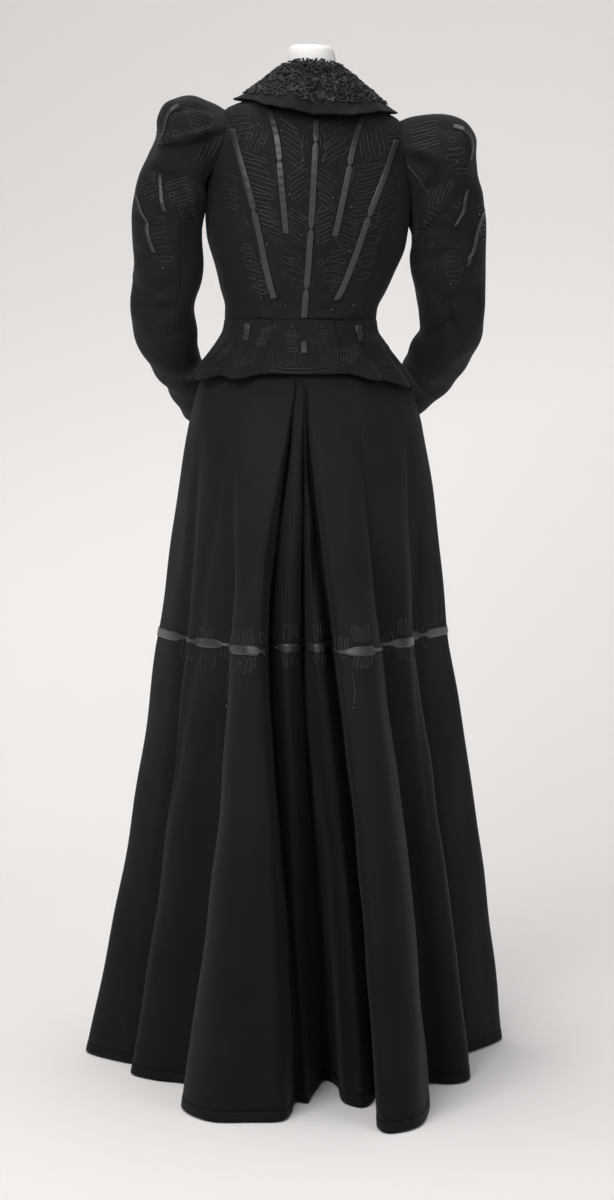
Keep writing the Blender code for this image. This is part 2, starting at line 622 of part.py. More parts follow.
def collar():
    """Neck stand and wide flaring fall, pierced where its cutwork is open."""
    shares = [0.0, 0.14, 0.24, 0.28, 0.34, 0.45, 0.56, 0.67, 0.78, 0.86, 1.0]
    piece = wall("collar", collar_point, spread(180 - COLLAR_FIRST_DEG, COLLAR_FIRST_DEG, 34), shares,
                 COLLAR_WALL, "applique", outward=-1, raised=collar_relief, step=(1e-3, 1e-4))
    for number, hole in enumerate(COLLAR_HOLES):
        middle = collar_point(hole.deg, hole.share)
        normal = -normal_of(collar_point, hole.deg, hole.share, 1e-3, 1e-4)
        bpy.ops.mesh.primitive_cylinder_add(vertices=8, radius=HOLE_RADIUS, depth=0.010, location=middle)
        cutter = bpy.context.object
        cutter.name = "collar_hole_%d" % (number + 1)
        tilt = math.acos(normal[2])
        heading = math.atan2(normal[1], normal[0])
        cutter.rotation_euler = (0, tilt, heading)
        cutter.hide_render = True
        cutter.display_type = "WIRE"
        for old in list(cutter.users_collection):
            old.objects.unlink(cutter)
        CUTTERS.objects.link(cutter)
        cut = piece.modifiers.new("hole_%d" % (number + 1), "BOOLEAN")
        cut.object = cutter
        cut.operation = "DIFFERENCE"


def ring_axes(ring, side):
    """Centre and the two half axes of one sleeve ring, placed and leaned on its side."""
    sign = SIDES[side]
    outer = leaned(sign * ring.outer_x, ring.y, ring.outer_z)
    inner = leaned(sign * ring.inner_x, ring.y, ring.inner_z)
    tip = math.radians(ring.tip)
    deep = np.array((0, math.cos(tip), math.sin(tip))) * ring.depth
    return (outer + inner) / 2, (outer - inner) / 2, deep


def armhole_point(side, phase):
    """A point of the sleeve's seam, just outside the armhole's edge."""
    sign = SIDES[side]
    height = ARMHOLE_MIDDLE + ARMHOLE_HALF * math.cos(math.radians(phase))
    point = section_point("torso", mirrored(side, armhole_degrees(phase)), height)
    return point + np.array((sign * ARMHOLE_GAP, 0, 0))


@lru_cache(maxsize=None)
def sleeve_knots(side, phase):
    """The points in which one line along the sleeve meets its rings."""
    cosine = math.cos(math.radians(phase))
    sine = math.sin(math.radians(phase))
    knots = [armhole_point(side, phase % 360)]
    for ring in SLEEVE[side]:
        middle, across, deep = ring_axes(ring, side)
        power = 2 / ring.squareness
        along_reach = math.copysign(abs(cosine) ** power, cosine)
        along_depth = math.copysign(abs(sine) ** power, sine)
        knots.append(middle + across * along_reach + deep * along_depth)
    return knots


def sleeve_point(side, phase, row):
    """A point of the sleeve: phase 0 is its outer side, 90 its back, row 0 the armhole."""
    knots = sleeve_knots(side, round(phase, 6))
    last = len(knots) - 1
    row = min(max(row, 0), last)
    at = min(int(row), last - 1)
    t = row - at
    before = knots[max(at - 1, 0)]
    start = knots[at]
    end = knots[at + 1]
    after = knots[min(at + 2, last)]
    start_slope = (end - before) / 2
    end_slope = (after - start) / 2
    start_share = 2 * t ** 3 - 3 * t ** 2 + 1
    end_share = 3 * t ** 2 - 2 * t ** 3
    return (start * start_share + end * end_share + start_slope * (t ** 3 - 2 * t ** 2 + t)
            + end_slope * (t ** 3 - t ** 2))


UPPER_SEAM_BACK = 112.0
UPPER_SEAM_FRONT = -112.0
SLEEVE_SEAM_DEG = 0.20


def sleeves(side):
    """The upper sleeve with its puff, and the under sleeve."""
    def surface(phase, row):
        return sleeve_point(side, phase, row)

    rows = list(range(len(SLEEVE[side]) + 1))
    start = UPPER_SEAM_BACK - SLEEVE_SEAM_DEG
    end = UPPER_SEAM_FRONT + SLEEVE_SEAM_DEG
    wall("sleeve_upper_" + side, surface, spread(start, end, 12), rows, SLEEVE_WALL, "wool",
         outward=-SIDES[side], step=(1e-3, 1e-4))
    start = 360 + UPPER_SEAM_FRONT - SLEEVE_SEAM_DEG
    end = UPPER_SEAM_BACK + SLEEVE_SEAM_DEG
    wall("sleeve_under_" + side, surface, spread(start, end, 7), rows, SLEEVE_WALL, "wool",
         outward=-SIDES[side], step=(1e-3, 1e-4))


KNOT_WIDTH = 0.0035
KNOT_FLARE = 0.22
TAB_RIBBON = (0.9880, 1.0040)
PEPLUM_RIBBON_DISTANCE = 0.076
PEPLUM_RIBBON_SPAN = (0.07, 0.37)


def strip_width(share, knots):
    """Ribbon width along a strip: narrowed to a knot at the shares given."""
    width = RIBBON_WIDTH
    for knot in knots:
        width = min(width, KNOT_WIDTH + abs(share - knot) * KNOT_FLARE)
    return width


def back_ribbon(name, side, trace, heights, knots):
    """A satin ribbon down the back, made from the jacket's points moved out."""
    kind = "torso"
    first = heights[0]
    last = heights[-1]

    def surface(u, height):
        share = (height - first) / (last - first)
        half = strip_width(share, knots) / 2
        distance = along(height, column(trace, "height"), column(trace, "distance")) if trace else 0.0
        place = distance + half * u
        if place < 0:
            deg = 180 - degrees_at(kind, -place, height)
        else:
            deg = degrees_at(kind, place, height)
        return section_point(kind, mirrored(side, deg), height)

    wall(name, surface, [-1.0, 0.0, 1.0], heights, RIBBON_WALL, "satin",
         lift=RIBBON_LIFT + RIBBON_WALL, outward=-SIDES[side], step=(1e-3, 1e-5))


def tab_ribbon():
    """The short ribbon at the foot of the centre tab."""
    def surface(u, height):
        deg = degrees_at("peplum", RIBBON_WIDTH / 2 * abs(u), height)
        return section_point("peplum", deg if u > 0 else 180 - deg, height)

    wall("ribbon_peplum_centre", surface, [-1.0, 1.0], spread(*TAB_RIBBON, 3),
         RIBBON_WALL, "satin", lift=TAB_LIFT + RIBBON_LIFT + RIBBON_WALL, outward=-1, step=(1e-3, 1e-5))


def peplum_ribbon(side):
    """A short ribbon on one side of the peplum, made from its points moved out."""
    def surface(u, v):
        height = PEPLUM_TOP + (PEPLUM_BACK_BOTTOM - PEPLUM_TOP) * v
        deg = degrees_at("peplum", PEPLUM_RIBBON_DISTANCE + RIBBON_WIDTH / 2 * u, height)
        return peplum_point(side, deg, v)

    wall("ribbon_peplum_" + side, surface, [-1.0, 1.0], spread(*PEPLUM_RIBBON_SPAN, 4), RIBBON_WALL, "satin",
         lift=2 * RIBBON_LIFT + RIBBON_WALL, outward=SIDES[side], step=(1e-3, 1e-4))


def jacket_ribbons():
    """The ribbons that fan out from the centre back, and those of the peplum."""
    centre_rows = [1.037] + JACKET_ROWS[1:] + SHOULDER_ROWS[:2]
    back_ribbon("ribbon_back_centre", "left", None, centre_rows, [0.15, 0.45, 0.88])
    for side in SIDES:
        outer_rows = JACKET_ROWS[2:-1] + [1.286]
        inner_rows = JACKET_ROWS[6:] + SHOULDER_ROWS[1:3]
        back_ribbon("ribbon_back_outer_" + side, side, OUTER_RIBBON, outer_rows, [0.52])
        back_ribbon("ribbon_back_inner_" + side, side, INNER_RIBBON, inner_rows, [0.58])
    tab_ribbon()
    for side in SIDES:
        peplum_ribbon(side)


# Ribbons of the sleeve: the phase at each end and the rows between
SleeveStrip = namedtuple("SleeveStrip", "name first_phase last_phase first_row last_row")
SLEEVE_STRIPS = [
    SleeveStrip("cap", 40, 52, 2.6, 4.6),
    SleeveStrip("back", 62, 84, 6.2, 7.6),
    SleeveStrip("outer", 30, 66, 7.7, 9.3),
]
SLEEVE_STRIP_HALF_DEG = 3.6


def sleeve_ribbons(side):
    """Short satin ribbons that fan down from the shoulder."""
    for strip in SLEEVE_STRIPS:
        def surface(u, row):
            share = (row - strip.first_row) / (strip.last_row - strip.first_row)
            phase = strip.first_phase + (strip.last_phase - strip.first_phase) * share
            return sleeve_point(side, phase + u * SLEEVE_STRIP_HALF_DEG, row)

        rows = spread(strip.first_row, strip.last_row, 5)
        wall("ribbon_sleeve_%s_%s" % (strip.name, side), surface, [-1.0, 1.0], rows, RIBBON_WALL,
             "satin", lift=SLEEVE_RIBBON_LIFT + RIBBON_WALL, outward=-SIDES[side], step=(1e-3, 1e-4))


def turned(x, y):
    """A point of the skirt's plan, square to the back view, turned to the body."""
    turn = math.radians(BODY_TURN_DEG)
    return np.array((x * math.cos(turn) + y * math.sin(turn), y * math.cos(turn) - x * math.sin(turn)))


def hip_point(ring, deg):
    """A point of one of the skirt's smooth upper rings."""
    cosine = math.cos(math.radians(deg))
    sine = math.sin(math.radians(deg))
    half_width = ring.left if cosine >= 0 else ring.right
    depth = ring.back if sine >= 0 else ring.front
    return np.array((cosine * half_width, sine * depth))


def gathered(deg):
    """Where a fold line lies above the hip: the centre pleat closes up there."""
    return float(np.interp(deg, [0, 78, 83.7, 95.3, 102, 180, 360], [0, 76, 87.3, 94.3, 104, 180, 360]))


@lru_cache(maxsize=None)
def fold_line_table():
    """Each line's points at the waist, high hip, hip, knee and hem."""
    lines = []
    for row in FOLD_LINES:
        hip = hip_point(SKIRT_TOP[-1], row.hip_deg)
        hip = turned(*(hip * (1 - row.tuck / np.linalg.norm(hip))))
        knee = turned(row.knee_x, row.knee_y)
        hem = turned(row.hem_x, row.hem_y)
        lines.append((row.hip_deg, hip, knee, hem))
    for i in range(FRONT_LINES):
        share = i / (FRONT_LINES - 1)
        flute = -math.cos(math.pi * i) * min(1.0, 3 * share, 3 * (1 - share))
        hem = front_point(FRONT_SPAN_AT_HEM, share, FRONT_HEM, flute * FLUTE_AT_HEM)
        knee = front_point(FRONT_SPAN_AT_KNEE, share, FRONT_KNEE, flute * FLUTE_AT_KNEE)
        deg = FRONT_SPAN_AT_HIP[0] + (FRONT_SPAN_AT_HIP[1] - FRONT_SPAN_AT_HIP[0]) * share
        lines.append((deg, turned(*hip_point(SKIRT_TOP[-1], deg)), turned(*knee), turned(*hem)))
    table = []
    for deg, hip, knee, hem in lines:
        waist = hip_point(SKIRT_TOP[0], gathered(deg) - BODY_TURN_DEG)
        below_waist = hip_point(SKIRT_TOP[1], gathered(deg) - BODY_TURN_DEG)
        high = turned(*hip_point(SKIRT_TOP[2], gathered(deg)))
        table.append((hem, knee, hip, high, below_waist, waist))
    return table


def front_point(span, share, half_sizes, flute):
    """A point of one of the hidden front lines on its ellipse, moved out or in by its flute."""
    angle = math.radians(span[0] + (span[1] - span[0]) * share)
    facing = np.array((math.cos(angle), math.sin(angle)))
    return facing * (np.array(half_sizes) + flute)


SKIRT_STATIONS = [HEM_HEIGHT, KNEE_HEIGHT] + [ring.height for ring in SKIRT_TOP[::-1]]


@lru_cache(maxsize=None)
def skirt_ring(height):
    """The points of every fold line at one height, with the steps between them."""
    points = []
    for stations in fold_line_table():
        points.append([along(height, SKIRT_STATIONS, [p[axis] for p in stations]) for axis in (0, 1)])
    points = np.array(points)
    steps = np.sqrt(np.linalg.norm(np.roll(points, -1, axis=0) - points, axis=1))
    return points, steps


def skirt_point(t, height):
    """A point of the skirt on a smooth closed curve through its fold lines."""
    points, steps = skirt_ring(round(height, 7))
    count = len(points)
    at = int(math.floor(t)) % count
    part = t - math.floor(t)

    def slope(i):
        here = points[i % count]
        back = (here - points[(i - 1) % count]) / steps[(i - 1) % count]
        ahead = (points[(i + 1) % count] - here) / steps[i % count]
        share = steps[i % count] / (steps[(i - 1) % count] + steps[i % count])
        return back * share + ahead * (1 - share)

    start_share = 2 * part ** 3 - 3 * part ** 2 + 1
    end_share = 3 * part ** 2 - 2 * part ** 3
    start_slope = slope(at) * steps[at] * (part ** 3 - 2 * part ** 2 + part)
    end_slope = slope(at + 1) * steps[at] * (part ** 3 - part ** 2)
    plan = points[at] * start_share + points[(at + 1) % count] * end_share + start_slope + end_slope
    sway = SKIRT_SWAY * math.sin(math.pi * min(height, KNEE_HEIGHT) / KNEE_HEIGHT)
    return np.array((plan[0] - sway, plan[1], height))


LINE_COUNT = len(FOLD_LINES) + FRONT_LINES
LINE_NAMES = [row.name for row in FOLD_LINES]
WIDE_STEP = 0.064


def line_number(name):
    """The place of a named fold line in the row of lines."""
    return LINE_NAMES.index(name)


def skirt_columns(first, last):
    """Columns from one seam to the next: each fold line, and one more in a wide span."""
    table = fold_line_table()
    columns = []
    for t in range(first, last):
        columns.append(float(t))
        hem_step = np.linalg.norm(table[(t + 1) % LINE_COUNT][0] - table[t % LINE_COUNT][0])
        if hem_step > WIDE_STEP:
            columns.append(t + 0.5)
    columns.append(float(last))
    return columns


SKIRT_ROWS = [BINDING_TOP, 0.200, 0.400, KNEE_RIBBON[0], KNEE_RIBBON[1], 0.710, 0.810, 0.885, 0.930, 0.960,
              0.997, 1.0325]

def skirt():
    """Five gores, the binding at the hem, the ribbon at the knee and the waistband."""
    seams = {
        "back_left": (line_number("valley_2"), line_number("centre_crest")),
        "back_right": (line_number("centre_crest"), line_number("valley_5")),
        "side_right": (line_number("valley_5"), len(FOLD_LINES) + 2),
        "front": (len(FOLD_LINES) + 2, LINE_COUNT - 3),
        "side_left": (LINE_COUNT - 3, LINE_COUNT + line_number("valley_2")),
    }
    for name, (first, last) in seams.items():
        def gore(t, height):
            lengths = skirt_ring(round(height, 7))[1] ** 2
            near = SEAM_GAP / 2 / lengths[first % LINE_COUNT]
            far = SEAM_GAP / 2 / lengths[(last - 1) % LINE_COUNT]
            moved = near * max(0.0, 1 - t + first) - far * max(0.0, 1 - last + t)
            return skirt_point(t + moved, height)

        wall("skirt_" + name, gore, skirt_columns(first, last), SKIRT_ROWS, SKIRT_WALL, "wool")
    around = skirt_columns(0, LINE_COUNT)[:-1]
    wall("skirt_hem_binding", skirt_point, around, [HEM_CLEARANCE, BINDING_TOP - SEAM_GAP],
         SKIRT_WALL + BINDING_EXTRA, "wool", lift=BINDING_EXTRA / 2, wraps=True)
    wall("skirt_knee_ribbon", skirt_point, around, list(KNEE_RIBBON), RIBBON_WALL, "satin",
         lift=SEAM_GAP + RIBBON_WALL, wraps=True)

    def band(deg, height):
        return section_point("torso", deg, height, -BAND_INSET)

    wall("skirt_waistband", band, spread(0, 345, 24), [1.0350, 1.0440, 1.0530], BAND_WALL, "wool",
         wraps=True, outward=1, step=(1e-3, 1e-5))


def dress_form():
    """Torso with a short neck, on a pole and a round base."""
    around = spread(0, 345, 24)
    points = []
    for row in FORM:
        ease = FORM_EASE if row.height < NECK_HEIGHT else 0.0
        points += [section_point("form", deg, row.height, -ease) for deg in around]
    count = len(around)
    faces = [tuple(reversed(range(count)))]
    for j in range(len(FORM) - 1):
        for i in range(count):
            k = (i + 1) % count
            faces.append((j * count + i, j * count + k, (j + 1) * count + k, (j + 1) * count + i))
    faces.append(tuple((len(FORM) - 1) * count + i for i in range(count)))
    add_mesh("form_torso", points, faces, "form_cover")
    pole_length = FORM[0].height - BASE_THICKNESS - 2 * SEAM_GAP
    bpy.ops.mesh.primitive_cylinder_add(vertices=20, radius=POLE_RADIUS, depth=pole_length,
                                        location=(0, 0, BASE_THICKNESS + SEAM_GAP + pole_length / 2))
    place_primitive("form_pole", 0.001)
    bpy.ops.mesh.primitive_cylinder_add(vertices=40, radius=BASE_RADIUS, depth=BASE_THICKNESS,
                                        location=(0, 0, BASE_THICKNESS / 2))
    place_primitive("form_base", 0.004)


def place_primitive(name, bevel):
    """Name the new primitive, give it its finish and soften its rims."""
    piece = bpy.context.object
    piece.name = name
    piece.data.materials.append(finish_material("stand_paint"))
    for old in list(piece.users_collection):
        old.objects.unlink(piece)
    SUIT.objects.link(piece)
    rounding = piece.modifiers.new("rounding", "BEVEL")
    rounding.width = bevel
    rounding.segments = 1
    rounding.limit_method = "ANGLE"
    piece.data.shade_smooth()
    piece.data.set_sharp_from_angle(angle=math.radians(40))


def build_suit():
    """Put the suit together from the form outwards."""
    dress_form()
    skirt()
    for side in SIDES:
        jacket_panels(side)
        peplum_side(side)
        sleeves(side)
        sleeve_ribbons(side)
    centre_tab()
    collar()
    jacket_ribbons()


build_suit()
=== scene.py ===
import math
from collections import namedtuple

import bmesh
import bpy
import numpy as np
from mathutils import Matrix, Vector
from mathutils.bvhtree import BVHTree


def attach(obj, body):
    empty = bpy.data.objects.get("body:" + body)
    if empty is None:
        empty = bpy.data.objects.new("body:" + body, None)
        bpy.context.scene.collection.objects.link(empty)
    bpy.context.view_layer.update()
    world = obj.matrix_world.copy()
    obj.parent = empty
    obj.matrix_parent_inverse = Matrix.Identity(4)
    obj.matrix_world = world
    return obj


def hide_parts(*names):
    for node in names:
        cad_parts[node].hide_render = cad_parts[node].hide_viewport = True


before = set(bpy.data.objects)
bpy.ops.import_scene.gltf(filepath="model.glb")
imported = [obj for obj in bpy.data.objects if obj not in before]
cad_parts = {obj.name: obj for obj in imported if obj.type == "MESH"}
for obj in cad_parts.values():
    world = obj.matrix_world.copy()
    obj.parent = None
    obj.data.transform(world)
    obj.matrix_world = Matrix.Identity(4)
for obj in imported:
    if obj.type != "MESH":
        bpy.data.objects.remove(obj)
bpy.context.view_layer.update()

bpy.ops.object.select_all(action="DESELECT")

# Room, camera and light
# A pale sweep of floor and wall behind the form. The camera stands 4.5 m away at the back of the suit,
# a little to its left. The light is soft, from the front and the left of the picture.
VIEW_FROM = Vector((0.2257, 4.4938, 1.05))
VIEW_AT = Vector((-0.0098, 0.0, 0.6437))
VIEW_SIZE = (614, 1200)
VIEW_REACH = 3226
camera_data = bpy.data.cameras.new("camera")
camera = bpy.data.objects.new("camera", camera_data)
bpy.context.scene.collection.objects.link(camera)
camera.location = VIEW_FROM
camera.rotation_euler = (VIEW_AT - VIEW_FROM).to_track_quat("-Z", "Y").to_euler()
camera_data.sensor_fit = "VERTICAL"
camera_data.sensor_height = 36
camera_data.lens = VIEW_REACH / VIEW_SIZE[1] * 36
bpy.context.scene.camera = camera
bpy.context.scene.view_settings.view_transform = "Standard"
bpy.context.view_layer.update()
VIEW_TURN = np.array(camera.matrix_world.to_3x3())


def new_material(name):
    """A material with its nodes, its links and its shader."""
    material = bpy.data.materials.new(name)
    material.use_nodes = True
    nodes = material.node_tree.nodes
    return material, nodes, material.node_tree.links, nodes["Principled BSDF"]


def two_tone(nodes, links, shader, vector, scale, dark, light, detail=3.0):
    """Soft colour variation between two near colours."""
    noise = nodes.new("ShaderNodeTexNoise")
    noise.inputs["Scale"].default_value = scale
    noise.inputs["Detail"].default_value = detail
    links.new(vector, noise.inputs["Vector"])
    ramp = nodes.new("ShaderNodeValToRGB")
    ramp.color_ramp.elements[0].position = 0.3
    ramp.color_ramp.elements[0].color = (*dark, 1)
    ramp.color_ramp.elements[1].position = 0.7
    ramp.color_ramp.elements[1].color = (*light, 1)
    links.new(noise.outputs["Fac"], ramp.inputs["Fac"])
    links.new(ramp.outputs["Color"], shader.inputs["Base Color"])


def painted_shade_by_height(nodes, links, shader, foot, top, at_foot, at_top):
    """Painted shade: multiplies the colour by one amount at a low height and by another at a greater one."""
    where = nodes.new("ShaderNodeTexCoord")
    height = nodes.new("ShaderNodeSeparateXYZ")
    links.new(where.outputs["Object"], height.inputs["Vector"])
    fade = nodes.new("ShaderNodeMapRange")
    fade.inputs["From Min"].default_value = foot
    fade.inputs["From Max"].default_value = top
    fade.inputs["To Min"].default_value = at_foot
    fade.inputs["To Max"].default_value = at_top
    links.new(height.outputs["Z"], fade.inputs["Value"])
    scaled = nodes.new("ShaderNodeVectorMath")
    scaled.operation = "SCALE"
    links.new(shader.inputs["Base Color"].links[0].from_socket, scaled.inputs[0])
    links.new(fade.outputs["Result"], scaled.inputs["Scale"])
    links.new(scaled.outputs["Vector"], shader.inputs["Base Color"])


def sweep():
    """Floor and wall in one curved sheet, clear from behind, with painted shade that greys it towards the
    upper left and leaves it pale low down.
    """
    profile = [(5.5, 0.0), (-1.4, 0.0)]
    for step in range(1, 13):
        angle = math.radians(90 * step / 12)
        profile.append((-1.4 - 1.2 * math.sin(angle), 1.2 - 1.2 * math.cos(angle)))
    profile.append((-2.6, 4.5))
    points = []
    for y, z in profile:
        points += [(-5.0, y, z), (5.0, y, z)]
    faces = [(2 * i, 2 * i + 2, 2 * i + 3, 2 * i + 1) for i in range(len(profile) - 1)]
    mesh = bpy.data.meshes.new("sweep")
    mesh.from_pydata(points, [], faces)
    mesh.shade_smooth()
    backdrop = bpy.data.objects.new("sweep", mesh)
    bpy.context.scene.collection.objects.link(backdrop)
    material, nodes, links, shader = new_material("painted_sweep")
    where = nodes.new("ShaderNodeTexCoord")
    parts = nodes.new("ShaderNodeSeparateXYZ")
    links.new(where.outputs["Object"], parts.inputs["Vector"])
    # Painted shade: the colour greys with height and towards +x, the upper left of the view, where the light
    # falls off.
    lean = nodes.new("ShaderNodeMath")
    lean.operation = "MULTIPLY_ADD"
    lean.inputs[1].default_value = 0.35
    links.new(parts.outputs["X"], lean.inputs[0])
    links.new(parts.outputs["Z"], lean.inputs[2])
    ramp = nodes.new("ShaderNodeValToRGB")
    ramp.color_ramp.elements[0].position = 0.0
    ramp.color_ramp.elements[0].color = (0.95, 0.93, 0.92, 1)
    ramp.color_ramp.elements[1].position = 1.0
    ramp.color_ramp.elements[1].color = (0.56, 0.54, 0.53, 1)
    scaled = nodes.new("ShaderNodeMapRange")
    scaled.inputs["From Min"].default_value = 0.6
    scaled.inputs["From Max"].default_value = 2.4
    links.new(lean.outputs["Value"], scaled.inputs["Value"])
    links.new(scaled.outputs["Result"], ramp.inputs["Fac"])
    links.new(ramp.outputs["Color"], shader.inputs["Base Color"])
    shader.inputs["Roughness"].default_value = 0.9
    shader.inputs["Specular IOR Level"].default_value = 0.1
    output = shader.outputs["BSDF"].links[0].to_socket
    behind = nodes.new("ShaderNodeNewGeometry")
    clear = nodes.new("ShaderNodeBsdfTransparent")
    either = nodes.new("ShaderNodeMixShader")
    links.new(behind.outputs["Backfacing"], either.inputs["Fac"])
    links.new(shader.outputs["BSDF"], either.inputs[1])
    links.new(clear.outputs["BSDF"], either.inputs[2])
    links.new(either.outputs["Shader"], output)
    mesh.materials.append(material)


sweep()
Lamp = namedtuple("Lamp", "name place aim size power colour")
LAMPS = [
    Lamp("key", (1.5, 3.0, 3.0), (0.0, 0.0, 0.95), 2.6, 100, (1.0, 0.985, 0.97)),
    Lamp("fill", (-2.2, 3.2, 1.9), (0.0, 0.0, 0.9), 2.2, 22, (0.97, 0.98, 1.0)),
    Lamp("wall", (0.3, -0.6, 4.2), (0.0, -2.2, 0.9), 2.4, 62, (1.0, 0.99, 0.98)),
]
for lamp in LAMPS:
    light = bpy.data.lights.new(lamp.name, "AREA")
    light.shape = "DISK"
    light.size = lamp.size
    light.energy = lamp.power
    light.color = lamp.colour
    holder = bpy.data.objects.new(lamp.name, light)
    bpy.context.scene.collection.objects.link(holder)
    holder.location = lamp.place
    holder.rotation_euler = (Vector(lamp.aim) - Vector(lamp.place)).to_track_quat("-Z", "Y").to_euler()
world = bpy.data.worlds.new("room")
bpy.context.scene.world = world
world.use_nodes = True
world.node_tree.nodes["Background"].inputs["Color"].default_value = (0.95, 0.95, 0.96, 1)
world.node_tree.nodes["Background"].inputs["Strength"].default_value = 0.24

# Stand and dress form
# A limbless padded form covered in off-white linen stands on a painted iron pole and round foot.
# The pole and the foot are hidden under the skirt.


def bumped(nodes, links, shader, height, distance, strength):
    """Relief from one height output on the shader's normal, on top of any that is there."""
    bump = nodes.new("ShaderNodeBump")
    bump.inputs["Strength"].default_value = strength
    bump.inputs["Distance"].default_value = distance
    links.new(height, bump.inputs["Height"])
    if shader.inputs["Normal"].links:
        links.new(shader.inputs["Normal"].links[0].from_socket, bump.inputs["Normal"])
    links.new(bump.outputs["Normal"], shader.inputs["Normal"])


def grain(nodes, links, shader, vector, scale, distance, strength):
    """Fine uneven grain."""
    noise = nodes.new("ShaderNodeTexNoise")
    noise.inputs["Scale"].default_value = scale
    noise.inputs["Detail"].default_value = 4.0
    links.new(vector, noise.inputs["Vector"])
    bumped(nodes, links, shader, noise.outputs["Fac"], distance, strength)


def weave(nodes, links, shader, vector, thread, distance, strength):
    """Crossing threads of one spacing, in metres."""
    for direction in ("X", "Y"):
        wave = nodes.new("ShaderNodeTexWave")
        wave.bands_direction = direction
        wave.inputs["Scale"].default_value = math.pi / 10 / thread
        wave.inputs["Distortion"].default_value = 0.8
        wave.inputs["Detail Scale"].default_value = 2.0
        links.new(vector, wave.inputs["Vector"])
        bumped(nodes, links, shader, wave.outputs["Fac"], distance, strength)


def surfaced(name, tone_scale, dark, light, grain_scale, depth, strength, roughness, specular=0.5):
    """A plain material of two near colours and a fine grain."""
    material, nodes, links, shader = new_material(name)
    where = nodes.new("ShaderNodeTexCoord").outputs["Object"]
    two_tone(nodes, links, shader, where, tone_scale, dark, light)
    grain(nodes, links, shader, where, grain_scale, depth, strength)
    shader.inputs["Roughness"].default_value = roughness
    shader.inputs["Specular IOR Level"].default_value = specular
    return material


material, nodes, links, shader = new_material("linen_cover")
where = nodes.new("ShaderNodeTexCoord").outputs["Object"]
two_tone(nodes, links, shader, where, 14, (0.92, 0.90, 0.87), (0.96, 0.95, 0.93))
weave(nodes, links, shader, where, 0.0009, 0.0002, 0.25)
grain(nodes, links, shader, where, 420, 0.0004, 0.2)
shader.inputs["Roughness"].default_value = 0.85
shader.inputs["Sheen Weight"].default_value = 0.15
LINEN = material

ENAMEL = surfaced("stand_enamel", 22, (0.66, 0.655, 0.64), (0.74, 0.735, 0.72), 260, 0.0006, 0.3, 0.38)
for name in ("form_pole", "form_base"):
    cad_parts[name].data.materials[0] = ENAMEL

# Skirt
# Five gores of black wool, lined, hung from a waistband in deep soft folds with an inverted pleat at the
# centre back. The gores are sewn together, pressed only at the pleat, and the hem is bound with wool.
SEAM_GAP = 0.0003
SKIRT_WALL = 0.0013
SKIRT_SWAY = 0.0060
KNEE_HEIGHT = 0.580
BINDING_TOP = 0.0150
SkirtRing = namedtuple("SkirtRing", "height left right back front")
SKIRT_TOP = [
    SkirtRing(1.0345, 0.1015, 0.1015, 0.0815, 0.0790),
    SkirtRing(1.0000, 0.1100, 0.1100, 0.0940, 0.0880),
    SkirtRing(0.9600, 0.1365, 0.1400, 0.1235, 0.1040),
    SkirtRing(0.8850, 0.1560, 0.1715, 0.1600, 0.1350),
]
